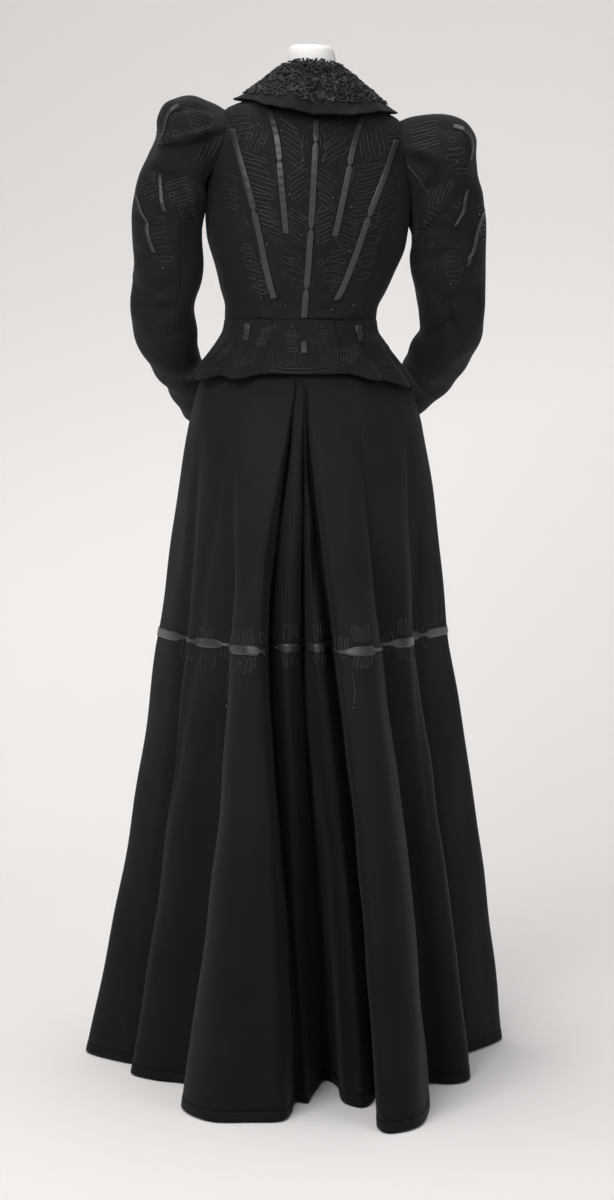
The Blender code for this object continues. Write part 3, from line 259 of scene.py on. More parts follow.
# One row for each line that runs down the skirt from the wearer's left side round the back: the hip
# angle, how far it is tucked in there, and its place at the knee and at the hem
FoldLine = namedtuple("FoldLine", "name hip_deg tuck knee_x knee_y hem_x hem_y")
FOLD_LINES = [
    FoldLine("side_left", 3, 0, 0.2010, -0.005, 0.3035, 0.002),
    FoldLine("fold_1_right", 22, 0, 0.1720, 0.066, 0.2480, 0.068),
    FoldLine("valley_1", 30, 0, 0.1520, 0.086, 0.2160, 0.088),
    FoldLine("fold_2_left", 37, 0, 0.1570, 0.110, 0.2335, 0.133),
    FoldLine("fold_2_crest", 43, 0, 0.1370, 0.145, 0.2000, 0.173),
    FoldLine("fold_2_right", 50, 0, 0.1080, 0.170, 0.1600, 0.190),
    FoldLine("valley_2", 55, 0, 0.0880, 0.183, 0.1300, 0.208),
    FoldLine("fold_3_left", 60, 0, 0.0937, 0.215, 0.1565, 0.310),
    FoldLine("fold_3_round", 64, 0, 0.0880, 0.240, 0.1400, 0.369),
    FoldLine("fold_3_crest", 69, 0, 0.0730, 0.258, 0.1120, 0.401),
    FoldLine("fold_3_middle", 75, 0, 0.0590, 0.264, 0.0660, 0.403),
    FoldLine("fold_3_right", 80, 0, 0.0500, 0.260, 0.0240, 0.398),
    FoldLine("fold_3_edge", 83.7, 0.0000, 0.0450, 0.240, 0.0120, 0.360),
    FoldLine("pleat_left", 85.2, 0.0260, 0.0405, 0.176, 0.0020, 0.296),
    FoldLine("centre_left", 86.8, 0.0030, 0.0320, 0.208, -0.0100, 0.303),
    FoldLine("centre_crest", 88.8, 0.0000, 0.0180, 0.226, -0.0140, 0.272),
    FoldLine("centre_right", 90.7, 0.0010, 0.0030, 0.212, -0.0230, 0.222),
    FoldLine("pleat_middle", 91.7, 0.0110, -0.0040, 0.165, -0.0360, 0.176),
    FoldLine("fold_4_left", 92.5, 0.0105, -0.0110, 0.205, -0.0510, 0.215),
    FoldLine("fold_4_crest", 93.1, 0.0120, -0.0230, 0.226, -0.0610, 0.304),
    FoldLine("fold_4_round", 93.5, 0.0155, -0.0330, 0.222, -0.0820, 0.326),
    FoldLine("fold_4_right", 93.9, 0.0185, -0.0370, 0.205, -0.0930, 0.309),
    FoldLine("pleat_right", 94.2, 0.0210, -0.0440, 0.170, -0.1020, 0.262),
    FoldLine("fold_5_flank", 95.0, 0.0100, -0.0520, 0.215, -0.1090, 0.335),
    FoldLine("fold_5_left", 95.8, 0.0010, -0.0480, 0.255, -0.1000, 0.434),
    FoldLine("fold_5_tip", 98.0, 0, -0.0560, 0.272, -0.1130, 0.460),
    FoldLine("fold_5_crest", 103, 0, -0.0750, 0.274, -0.1350, 0.450),
    FoldLine("fold_5_round", 110, 0, -0.0970, 0.260, -0.1580, 0.415),
    FoldLine("fold_5_right", 115, 0, -0.1100, 0.225, -0.1720, 0.304),
    FoldLine("valley_5", 119, 0, -0.1060, 0.178, -0.1600, 0.205),
    FoldLine("fold_6_left", 123, 0, -0.1200, 0.166, -0.1770, 0.192),
    FoldLine("fold_6_crest", 130, 0, -0.1400, 0.157, -0.2070, 0.196),
    FoldLine("fold_6_round", 137, 0, -0.1540, 0.136, -0.2290, 0.179),
    FoldLine("fold_6_right", 143, 0, -0.1580, 0.103, -0.2320, 0.129),
    FoldLine("valley_6", 148, 0, -0.1520, 0.066, -0.2160, 0.035),
    FoldLine("fold_7_left", 153, 0, -0.1700, 0.040, -0.2380, 0.012),
    FoldLine("fold_7_crest", 163, 0, -0.1950, 0.000, -0.2700, -0.036),
    FoldLine("side_right", 176, 0, -0.2110, -0.040, -0.2920, -0.089),
]
FRONT_LINES = 15
LINE_COUNT = len(FOLD_LINES) + FRONT_LINES


def hermite(start, end, start_slope, end_slope, t):
    """A smooth step from start to end that leaves and arrives with the slopes given."""
    start_share = 2 * t ** 3 - 3 * t ** 2 + 1
    return (start * start_share + end * (1 - start_share) + start_slope * (t ** 3 - 2 * t ** 2 + t)
            + end_slope * (t ** 3 - t ** 2))


def along(place, stations, values):
    """A smooth curve through values at rising stations that never overshoots them."""
    stations = np.asarray(stations, float)
    values = np.asarray(values, float)
    place = np.clip(place, stations[0], stations[-1])
    step = np.diff(stations)
    rate = np.diff(values) / step
    both = rate[:-1] * rate[1:]
    total = np.where(both > 0, rate[:-1] + rate[1:], 1.0)
    slope = np.concatenate((rate[:1], np.where(both > 0, 2 * both / total, 0.0), rate[-1:]))
    at = np.clip(np.searchsorted(stations, place) - 1, 0, len(step) - 1)
    t = (place - stations[at]) / step[at]
    return hermite(values[at], values[at + 1], step[at] * slope[at], step[at] * slope[at + 1], t)


def column(table, name):
    """One named column of a table of rows."""
    return [getattr(row, name) for row in table]


def turned(x, y):
    """A point of the skirt's plan turned to the body, which stands 3 degrees off the back view."""
    turn = math.radians(3.0)
    return np.array((x * math.cos(turn) + y * math.sin(turn), y * math.cos(turn) - x * math.sin(turn)))


def hip_point(ring, deg):
    """A point of one of the skirt's smooth upper rings."""
    cosine = math.cos(math.radians(deg))
    sine = math.sin(math.radians(deg))
    half_width = ring.left if cosine >= 0 else ring.right
    return np.array((cosine * half_width, sine * (ring.back if sine >= 0 else ring.front)))


def front_point(first, last, share, half_x, half_y, flute):
    """A point of one of the even flutes of the front, on an ellipse."""
    angle = math.radians(first + (last - first) * share)
    return math.cos(angle) * (half_x + flute), math.sin(angle) * (half_y + flute)


def skirt_lines():
    """Each line's places at the hem, knee, hip, high hip, below the waist and at the waist."""
    lines = []
    for row in FOLD_LINES:
        hip = hip_point(SKIRT_TOP[-1], row.hip_deg)
        hip = turned(*(hip * (1 - row.tuck / np.linalg.norm(hip))))
        lines.append((row.hip_deg, hip, turned(row.knee_x, row.knee_y), turned(row.hem_x, row.hem_y)))
    for i in range(FRONT_LINES):
        share = i / (FRONT_LINES - 1)
        flute = -math.cos(math.pi * i) * min(1.0, 3 * share, 3 * (1 - share))
        hem = front_point(213.0, 350.0, share, 0.296, 0.290, flute * 0.016)
        knee = front_point(204.0, 350.0, share, 0.200, 0.205, flute * 0.004)
        deg = 189.0 + 163.0 * share
        lines.append((deg, turned(*hip_point(SKIRT_TOP[-1], deg)), turned(*knee), turned(*hem)))
    table = []
    for deg, hip, knee, hem in lines:
        closed = float(np.interp(deg, [0, 78, 83.7, 95.3, 102, 180, 360], [0, 76, 87.3, 94.3, 104, 180, 360]))
        high = turned(*hip_point(SKIRT_TOP[2], closed))
        table.append((hem, knee, hip, high, hip_point(SKIRT_TOP[1], closed - 3.0),
                      hip_point(SKIRT_TOP[0], closed - 3.0)))
    return np.array(table)


SKIRT_LINES = skirt_lines()
SKIRT_STATIONS = [0.0, KNEE_HEIGHT] + [ring.height for ring in SKIRT_TOP[::-1]]


def skirt_rings(heights):
    """The points of every line at each height, and the root of the step from each line to the next."""
    points = np.empty((len(heights), LINE_COUNT, 2))
    for line in range(LINE_COUNT):
        for axis in (0, 1):
            points[:, line, axis] = along(heights, SKIRT_STATIONS, SKIRT_LINES[line, :, axis])
    steps = np.sqrt(np.linalg.norm(np.roll(points, -1, axis=1) - points, axis=2))
    return points, steps


def skirt_grid(places, heights, first=None, last=None):
    """Points on the closed curves through the lines, with half a seam's gap left at both ends."""
    heights = np.asarray(heights, float)
    points, steps = skirt_rings(heights)
    t = np.repeat(np.asarray(places, float)[:, None], len(heights), axis=1)
    if first is not None:
        near = SEAM_GAP / 2 / steps[:, first % LINE_COUNT] ** 2
        far = SEAM_GAP / 2 / steps[:, (last - 1) % LINE_COUNT] ** 2
        t = t + near * np.maximum(0.0, 1 - t + first) - far * np.maximum(0.0, 1 - last + t)
    at = np.floor(t).astype(int)
    part = (t - at)[:, :, None]
    row = np.arange(len(heights))[None, :]

    def place(k):
        return points[row, (at + k) % LINE_COUNT]

    def step(k):
        return steps[row, (at + k) % LINE_COUNT][:, :, None]

    def slope(k):
        share = step(k) / (step(k - 1) + step(k))
        before = (place(k) - place(k - 1)) / step(k - 1)
        after = (place(k + 1) - place(k)) / step(k)
        return before * share + after * (1 - share)

    plan = hermite(place(0), place(1), slope(0) * step(0), slope(1) * step(0), part)
    sway = SKIRT_SWAY * np.sin(math.pi * np.minimum(heights, KNEE_HEIGHT) / KNEE_HEIGHT)
    grid = np.empty(t.shape + (3,))
    grid[:, :, 0] = plan[:, :, 0] - sway
    grid[:, :, 1] = plan[:, :, 1]
    grid[:, :, 2] = heights
    return grid


def grid_normals(points, outward=1, wraps=False):
    """Unit normals of a grid of points."""
    if wraps:
        across = np.roll(points, -1, axis=0) - np.roll(points, 1, axis=0)
    else:
        across = np.gradient(points, axis=0)
    normals = np.cross(across, np.gradient(points, axis=1)) * outward
    return normals / np.maximum(np.linalg.norm(normals, axis=2, keepdims=True), 1e-12)


def in_view(points):
    """Where points lie in the back view, in its picture points from the upper left corner."""
    seen = (points - np.array(VIEW_FROM)) @ VIEW_TURN
    across = VIEW_SIZE[0] / 2 - VIEW_REACH * seen[..., 0] / seen[..., 2]
    down = VIEW_SIZE[1] / 2 + VIEW_REACH * seen[..., 1] / seen[..., 2]
    return across, down


# A crease runs through places of the back view. Its depth is negative for a hollow and positive for a
# ridge, in metres, and its width is in picture points, each about 1.4 mm.
Crease = namedtuple("Crease", "depth width places")


def creased(points, normals, creases, front=False):
    """The cloth moved in and out along its creases: those of the back, or like ones on the hidden front."""
    flip = np.array((1, -1, 1)) if front else np.array((1, 1, 1))
    across, down = in_view(points * flip)
    facing = np.clip((normals * flip)[..., 1] * 3, 0, 1)
    moved = np.zeros(across.shape)
    for crease in creases:
        spots = np.array(crease.places, float)
        spans = np.linalg.norm(np.diff(spots, axis=0), axis=1)
        nearest = np.full(across.shape, 1e9)
        share = np.zeros(across.shape)
        run = 0.0
        for start, end, span in zip(spots[:-1], spots[1:], spans):
            ray = (end - start) / span
            on = np.clip((across - start[0]) * ray[0] + (down - start[1]) * ray[1], 0, span)
            gap = np.hypot(across - start[0] - ray[0] * on, down - start[1] - ray[1] * on)
            closer = gap < nearest
            nearest = np.where(closer, gap, nearest)
            share = np.where(closer, (run + on) / spans.sum(), share)
            run += span
        taper = np.sin(math.pi * np.clip(share, 0.0, 1.0)) ** 0.7
        moved += crease.depth * taper * np.exp(-(nearest / crease.width) ** 2)
    return points + normals * (moved * facing)[..., None]


def uneven(points, normals, height, size=0.05):
    """Slight hand-made waves over the whole cloth, of one height and about one size."""
    waves = np.zeros(points.shape[:-1])
    for number, way in enumerate([(1.0, 0.6, 0.3), (-0.5, 1.1, 0.8), (0.8, -0.7, 1.3), (0.3, 1.4, -1.1)]):
        waves += np.sin(points @ np.array(way) * 2 * math.pi / (size * (1 + 0.37 * number)) + 1.7 * number)
    return points + normals * (waves * height / 2)[..., None]


def placed(name, points, faces, material, smooth=True, node=None):
    """A new object of one material on a mesh of points and faces, in place of a node where one is given."""
    mesh = bpy.data.meshes.new(name)
    mesh.from_pydata(points, [], faces)
    mesh.materials.append(material)
    if smooth:
        mesh.shade_smooth()
    piece = bpy.data.objects.new(name, mesh)
    bpy.context.scene.collection.objects.link(piece)
    if node:
        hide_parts(node)
    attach(piece, "root")
    return piece


SHELLS = []


def shell(name, points, normals, material, wall, wraps=False, outward=1, node=None, inward=True):
    """A thin sheet on a grid of points, its right side outwards and its wall's thickness inside."""
    columns, rows = points.shape[:2]
    i = np.arange(columns if wraps else columns - 1)[:, None]
    j = np.arange(rows - 1)[None, :]
    k = (i + 1) % columns
    faces = np.stack((i * rows + j, k * rows + j, k * rows + j + 1, i * rows + j + 1), axis=-1).reshape(-1, 4)
    if outward < 0:
        faces = faces[:, ::-1]
    piece = placed(name, points.reshape(-1, 3).tolist(), faces.tolist(), material, node=node)
    widths = np.linalg.norm(np.diff(points, axis=0), axis=2).mean(axis=1)
    lengths = np.linalg.norm(np.diff(points, axis=1), axis=2).mean(axis=0)
    u = np.concatenate(([0.0], np.cumsum(widths)))
    v = np.concatenate(([0.0], np.cumsum(lengths)))
    closing = u[-1] + widths.mean()
    corners = np.stack((u[faces // rows], v[faces % rows]), axis=-1)
    if wraps:
        spread = np.abs(corners[:, :, 0] - corners[:, :, 0].max(axis=1)[:, None])
        seam = (faces // rows == 0) & (spread > closing / 2)
        corners[:, :, 0] = np.where(seam, closing, corners[:, :, 0])
    layer = piece.data.uv_layers.new(name="cloth")
    layer.data.foreach_set("uv", corners.reshape(-1).astype(np.float32))
    if inward:
        thick = piece.modifiers.new("wall", "SOLIDIFY")
        thick.thickness = wall
        thick.offset = -1
    SHELLS.append((points.reshape(-1, 3), faces))
    return piece


def wool_material(name, dark, light, thread=0.0007, sheen=0.05, low=None):
    """Black wool cloth: a fine twill, a soft nap and slight changes of tone, with painted shade darker low
    down if asked.
    """
    material, nodes, links, shader = new_material(name)
    coordinates = nodes.new("ShaderNodeTexCoord")
    two_tone(nodes, links, shader, coordinates.outputs["Object"], 11, dark, light, 5.0)
    # Painted shade: the colour darkens towards the floor.
    if low:
        painted_shade_by_height(nodes, links, shader, 0.15, 0.80, low, 1.0)
    weave(nodes, links, shader, coordinates.outputs["UV"], thread, 0.0002, 0.22)
    grain(nodes, links, shader, coordinates.outputs["Object"], 330, 0.0005, 0.25)
    grain(nodes, links, shader, coordinates.outputs["Object"], 45, 0.0012, 0.12)
    shader.inputs["Roughness"].default_value = 0.82
    shader.inputs["Specular IOR Level"].default_value = 0.16
    shader.inputs["Sheen Weight"].default_value = sheen
    shader.inputs["Sheen Roughness"].default_value = 0.45
    shader.inputs["Sheen Tint"].default_value = (0.8, 0.82, 0.85, 1)
    return material


# The skirt's wool carries painted shade, darker towards the hem.
SKIRT_WOOL = wool_material("skirt_wool", (0.0088, 0.0088, 0.0088), (0.0124, 0.0124, 0.0122), 0.0008, 0.03,
                           low=0.45)
SKIRT_CREASES = [
    Crease(-0.0039, 5, [(230, 415), (205, 570), (195, 650), (165, 820), (140, 1010)]),
    Crease(0.0029, 9, [(246, 420), (222, 600), (210, 700), (182, 860), (160, 1020)]),
    Crease(-0.0023, 5, [(225, 690), (200, 780), (175, 870)]),
    Crease(-0.0039, 4, [(282, 425), (285, 470), (270, 555), (265, 640)]),
    Crease(-0.0039, 4, [(311, 445), (312, 485), (318, 515), (315, 570), (312, 640)]),
    Crease(0.0026, 7, [(262, 430), (262, 520), (248, 640), (236, 800)]),
    Crease(-0.0029, 6, [(357, 415), (380, 570), (390, 720), (410, 870)]),
    Crease(-0.0036, 5, [(420, 470), (415, 620), (425, 765), (450, 970)]),
    Crease(0.0026, 8, [(340, 420), (352, 520), (362, 640), (372, 800)]),
    Crease(-0.0021, 6, [(196, 420), (178, 520), (160, 640), (140, 740)]),
    Crease(-0.0016, 7, [(330, 700), (345, 820), (360, 960), (372, 1080)]),
    Crease(0.0018, 9, [(250, 830), (238, 940), (222, 1060), (214, 1130)]),
]
SKIRT_FRONT_CREASES = [
    Crease(-0.0026, 6, [(215, 430), (200, 600), (180, 800), (150, 1000)]),
    Crease(0.0020, 9, [(240, 440), (228, 640), (214, 820), (196, 1010)]),
    Crease(-0.0022, 5, [(276, 470), (270, 640), (262, 820)]),
    Crease(-0.0028, 6, [(330, 450), (338, 620), (352, 860), (360, 1040)]),
    Crease(0.0018, 8, [(362, 430), (376, 600), (394, 780)]),
    Crease(-0.0022, 6, [(398, 480), (410, 640), (432, 860), (446, 1010)]),
]


def skirt_cloth(places, heights, first=None, last=None, lift=0.0, wraps=False):
    """The skirt's outer face with its creases, and its normals."""
    points = skirt_grid(places, heights, first, last)
    normals = grid_normals(points, 1, wraps)
    points = creased(points, normals, SKIRT_CREASES)
    points = creased(points, normals, SKIRT_FRONT_CREASES, front=True)
    points = uneven(points, normals, 0.0009, 0.11)
    return points + normals * lift, normals


HEM_SPACING = 0.0075


def fine_places(first, last):
    """Places along the lines from one seam to the next, about one spacing apart at the hem."""
    hem = SKIRT_LINES[:, 0]
    places = []
    for t in range(first, last):
        span = np.linalg.norm(hem[(t + 1) % LINE_COUNT] - hem[t % LINE_COUNT])
        count = max(3, int(round(span / HEM_SPACING)))
        places += [t + i / count for i in range(count)]
    return places + [float(last)]


LINE_NAMES = column(FOLD_LINES, "name")
Gore = namedtuple("Gore", "name first last flat area")
GORES = [
    Gore("back_left", LINE_NAMES.index("valley_2"), LINE_NAMES.index("centre_crest"), (0.46, 1.07), 0.27),
    Gore("back_right", LINE_NAMES.index("centre_crest"), LINE_NAMES.index("valley_5"), (0.78, 1.09), 0.46),
    Gore("side_right", LINE_NAMES.index("valley_5"), len(FOLD_LINES) + 2, (0.56, 1.06), 0.40),
    Gore("front", len(FOLD_LINES) + 2, LINE_COUNT - 3, (0.58, 1.05), 0.41),
    Gore("side_left", LINE_COUNT - 3, LINE_COUNT + LINE_NAMES.index("valley_2"), (0.48, 1.05), 0.35),
]
GORE_HEIGHTS = np.concatenate((np.linspace(BINDING_TOP, 0.593, 84), np.linspace(0.5945, 0.6050, 4),
                               np.linspace(0.611, 1.0325, 66)))
for gore in GORES:
    places = fine_places(gore.first, gore.last)
    points, normals = skirt_cloth(places, GORE_HEIGHTS, gore.first, gore.last)
    piece = shell("skirt_gore_" + gore.name, points, normals, SKIRT_WOOL, SKIRT_WALL,
                  node="skirt_" + gore.name)
AROUND = fine_places(0, LINE_COUNT)[:-1]
points, normals = skirt_cloth(AROUND, np.linspace(0.0025, BINDING_TOP - SEAM_GAP, 4), lift=0.0005, wraps=True)
piece = shell("skirt_binding", points, normals, SKIRT_WOOL, SKIRT_WALL + 0.0010, wraps=True,
              node="skirt_hem_binding")

# Jacket
# A close-fitting jacket of black wool in eight cut panels, lined and sewn with inside seams, and shaped at
# the waist. It closes edge to edge at the hidden front. The waist pulls into short soft creases.
JACKET_WALL = 0.0015
SEAM_DEG = 0.085
SIDES = {"left": 1, "right": -1}
Section = namedtuple("Section", "height half_width back front squareness")
TORSO = [
    Section(1.030, 0.1050, 0.0850, 0.0820, 2.10),
    Section(1.050, 0.1058, 0.0862, 0.0850, 2.10),
    Section(1.076, 0.1150, 0.0910, 0.0950, 2.15),
    Section(1.104, 0.1240, 0.0965, 0.1070, 2.20),
    Section(1.146, 0.1385, 0.1040, 0.1230, 2.25),
    Section(1.180, 0.1415, 0.1095, 0.1300, 2.30),
    Section(1.220, 0.1435, 0.1115, 0.1260, 2.30),
    Section(1.270, 0.1400, 0.1060, 0.1060, 2.25),
    Section(1.300, 0.1310, 0.0940, 0.0880, 2.20),
    Section(1.316, 0.1205, 0.0840, 0.0760, 2.15),
    Section(1.330, 0.0930, 0.0690, 0.0630, 2.10),
    Section(1.346, 0.0600, 0.0520, 0.0500, 2.00),
]
PEPLUM = [
    Section(1.0347, 0.1054, 0.0860, 0.0830, 2.10),
    Section(1.0200, 0.1075, 0.0915, 0.0870, 2.10),
    Section(1.0060, 0.1145, 0.1000, 0.0940, 2.15),
    Section(0.9900, 0.1255, 0.1110, 0.1020, 2.15),
    Section(0.9700, 0.1400, 0.1270, 0.1120, 2.20),
    Section(0.9500, 0.1535, 0.1420, 0.1200, 2.20),
    Section(0.9300, 0.1650, 0.1540, 0.1270, 2.20),
]
Lean = namedtuple("Lean", "height shift rise")
LEAN = [
    Lean(1.000, 0.0000, 0.000),
    Lean(1.050, -0.0020, 0.015),
    Lean(1.100, -0.0060, 0.040),
    Lean(1.150, -0.0090, 0.055),
    Lean(1.230, -0.0135, 0.060),
    Lean(1.310, -0.0175, 0.062),
    Lean(1.350, -0.0185, 0.062),
    Lean(1.410, -0.0155, 0.030),
]
Trace = namedtuple("Trace", "height distance")
BACK_SEAM = [Trace(1.030, 0.0345), Trace(1.056, 0.0447), Trace(1.080, 0.0520), Trace(1.157, 0.0755),
             Trace(1.190, 0.0850), Trace(1.240, 0.1010), Trace(1.280, 0.1150), Trace(1.291, 0.1178)]
ARMHOLE_MIDDLE = 1.2480
ARMHOLE_HALF = 0.0680
SEAM_TOP = 1.2910
JACKET_FOOT = 1.0355
NECK_HEIGHT = 1.3450
# The side panels' seams, in degrees from the side, and the phases round the armhole at which they end
BACK_SIDE_SEAM = 14.0
FRONT_SIDE_SEAM = -18.0
BACK_LAST_PHASE = 128.0
FRONT_LAST_PHASE = 139.5
SECTION_TABLES = {"torso": TORSO, "peplum": PEPLUM[::-1]}


def leaned(x, y, z):
    """Points moved as the body leans above the waist."""
    shift = along(z, column(LEAN, "height"), column(LEAN, "shift"))
    rise = along(z, column(LEAN, "height"), column(LEAN, "rise"))
    return np.stack(np.broadcast_arrays(x + shift, y, z + x * rise), axis=-1)


def section_sizes(kind, height):
    """Half width, back depth, front depth and squareness of a body section."""
    table = SECTION_TABLES[kind]
    return [along(height, column(table, "height"), column(table, name)) for name in Section._fields[1:]]


def section_point(kind, deg, height, outward=0.0):
    """Points of a body section: 0 degrees is the left side, 90 the centre back."""
    half_width, back, front, squareness = section_sizes(kind, height)
    cosine = np.cos(np.radians(deg))
    sine = np.sin(np.radians(deg))
    power = 2 / squareness
    x = np.sign(cosine) * np.abs(cosine) ** power * (half_width + outward)
    y = np.sign(sine) * np.abs(sine) ** power * (np.where(sine >= 0, back, front) + outward)
    return leaned(x, y, height)


def degrees_at(kind, distance, height):
    """The angle, from the side, of points at a distance from the centre back."""
    half_width, _, _, squareness = section_sizes(kind, height)
    return np.degrees(np.arccos(np.minimum(distance / half_width, 1.0) ** (squareness / 2)))


def trace_degrees(trace, height):
    """The angle of a seam line of the back at each height."""
    return degrees_at("torso", along(height, column(trace, "height"), column(trace, "distance")), height)


def mirrored(side, deg):
    """An angle on the left half, or its twin on the right half."""
    return deg if side == "left" else 180.0 - deg


def armhole_degrees(phase):
    """The body angle of the armhole's edge: back edge to 180, front edge past it."""
    sine = np.sin(np.radians(phase))
    cosine = np.cos(np.radians(phase))
    return np.where(phase <= 180, 27.0 * sine * (1 + 0.55 * cosine), 36.0 * sine * (1 + 0.30 * cosine))


def panel_edge(height, side_seam, last_phase, front=False):
    """The outer edge of the back or the front: side seam, armhole and shoulder seam."""
    phase = np.degrees(np.arccos(np.clip((height - ARMHOLE_MIDDLE) / ARMHOLE_HALF, -1, 1)))
    if front:
        armhole = np.minimum(armhole_degrees(360 - phase), -SEAM_DEG)
    else:
        armhole = np.maximum(armhole_degrees(phase), SEAM_DEG)
    edge = np.where(phase > last_phase, side_seam, armhole)
    return np.where(height >= ARMHOLE_MIDDLE + ARMHOLE_HALF, -SEAM_DEG if front else SEAM_DEG, edge)


def underarm_top(deg):
    """Height of the armhole's lower edge over an angle between the side seams."""
    back_phases = np.linspace(180, 126, 40)
    front_phases = np.linspace(180.001, 222, 40)
    back = np.interp(np.abs(deg), np.abs(armhole_degrees(back_phases)), back_phases)
    front = np.interp(np.abs(deg), np.abs(armhole_degrees(front_phases)), front_phases)
    return ARMHOLE_MIDDLE + ARMHOLE_HALF * np.cos(np.radians(np.where(deg >= 0, back, front)))


JACKET_CREASES = [
    Crease(-0.0034, 3.5, [(243, 298), (252, 316), (276, 326), (300, 325)]),
    Crease(0.0034, 4.0, [(246, 290), (262, 309), (284, 317), (304, 316)]),
    Crease(-0.0022, 3.0, [(262, 286), (276, 300), (294, 306)]),
    Crease(-0.0034, 3.5, [(376, 307), (362, 318), (340, 324), (318, 322)]),
    Crease(0.0034, 4.0, [(372, 298), (354, 310), (334, 315), (314, 314)]),
    Crease(-0.0022, 3.0, [(352, 292), (338, 304), (322, 308)]),
    Crease(0.0026, 2.6, [(250, 303), (262, 318), (286, 321), (305, 319)]),
    Crease(-0.0030, 2.4, [(258, 303), (272, 313), (298, 313)]),
    Crease(0.0026, 2.6, [(370, 313), (350, 319), (318, 318)]),
    Crease(-0.0030, 2.4, [(360, 306), (342, 312), (316, 311)]),
    Crease(-0.0020, 3.0, [(236, 303), (242, 315), (256, 324)]),
    Crease(-0.0020, 3.0, [(384, 310), (374, 320), (360, 327)]),
    Crease(-0.0025, 5.0, [(232, 196), (246, 222), (256, 262)]),
    Crease(-0.0022, 5.0, [(386, 206), (374, 236), (362, 272)]),
    Crease(-0.0020, 6.0, [(216, 205), (232, 240), (240, 280)]),
    Crease(-0.0020, 6.0, [(398, 215), (388, 250), (380, 288)]),
    Crease(0.0029, 7.0, [(296, 150), (293, 220), (296, 290)]),
    Crease(0.0029, 7.0, [(330, 158), (326, 225), (322, 292)]),
]
JACKET_FRONT_CREASES = [
    Crease(-0.0034, 3.5, [(242, 300), (256, 318), (284, 325)]),
    Crease(-0.0025, 3.0, [(262, 292), (280, 307), (300, 311)]),
    Crease(-0.0034, 3.5, [(380, 304), (358, 319), (332, 324)]),
    Crease(-0.0022, 3.0, [(356, 296), (340, 308), (320, 312)]),
    Crease(-0.0028, 5.0, [(226, 210), (242, 240), (252, 284)]),
    Crease(-0.0025, 5.0, [(394, 216), (378, 250), (368, 290)]),
    Crease(0.0029, 7.0, [(280, 150), (284, 220), (292, 290)]),
]


def jacket_finish(points, outward, lift=0.0):
    """The body's cloth with its creases, and its normals."""
    normals = grid_normals(points, outward)
    points = creased(points, normals, JACKET_CREASES)
    points = creased(points, normals, JACKET_FRONT_CREASES, front=True)
    points = uneven(points, normals, 0.0006, 0.07)
    return points + normals * lift, normals


JACKET_WOOL = wool_material("jacket_wool", (0.0082, 0.0082, 0.0082), (0.0118, 0.0118, 0.0116))
LOW_ROWS = np.linspace(JACKET_FOOT, SEAM_TOP - 0.0001, 86)
HIGH_ROWS = np.linspace(SEAM_TOP + 0.0003, NECK_HEIGHT, 19)
Panel = namedtuple("Panel", "name columns flat area")
PANELS = [
    Panel("centre_back", 40, (0.13, 0.37), 0.032),
    Panel("side_back", 24, (0.10, 0.28), 0.019),
    Panel("underarm", 24, (0.09, 0.19), 0.011),
    Panel("front", 56, (0.19, 0.38), 0.050),
]


def panel_points(name, side, u):
    """The grid of points of one panel of the jacket."""
    if name == "underarm":
        start = BACK_SIDE_SEAM - SEAM_DEG
        deg = start + (FRONT_SIDE_SEAM + SEAM_DEG - start) * u
        top = underarm_top(deg) - SEAM_GAP
        height = JACKET_FOOT + (top - JACKET_FOOT) * np.linspace(0, 1, 52)[None, :]
        return section_point("torso", mirrored(side, deg + 0 * height), height)
    height = LOW_ROWS if name == "side_back" else np.concatenate((LOW_ROWS, HIGH_ROWS))
    seam = trace_degrees(BACK_SEAM, height)
    edge = panel_edge(height, BACK_SIDE_SEAM, BACK_LAST_PHASE)
    if name == "centre_back":
        last = np.where(height <= SEAM_TOP, seam, edge) + SEAM_DEG
        deg = 90 - SEAM_DEG + (last - 90 + SEAM_DEG) * u
    elif name == "side_back":
        deg = seam - SEAM_DEG + (edge + SEAM_DEG - seam + SEAM_DEG) * u
    else:
        start = panel_edge(height, FRONT_SIDE_SEAM, FRONT_LAST_PHASE, front=True) - SEAM_DEG
        deg = start + (-90 + SEAM_DEG - start) * u
    return section_point("torso", mirrored(side, deg), height + 0 * u)


for side, sign in SIDES.items():
    for panel in PANELS:
        u = np.linspace(0, 1, panel.columns)[:, None]
        points, normals = jacket_finish(panel_points(panel.name, side, u), -sign)
        piece = shell("jacket_panel_%s_%s" % (panel.name, side), points, normals, JACKET_WOOL, JACKET_WALL,
                      outward=-sign, node="jacket_%s_%s" % (panel.name, side))

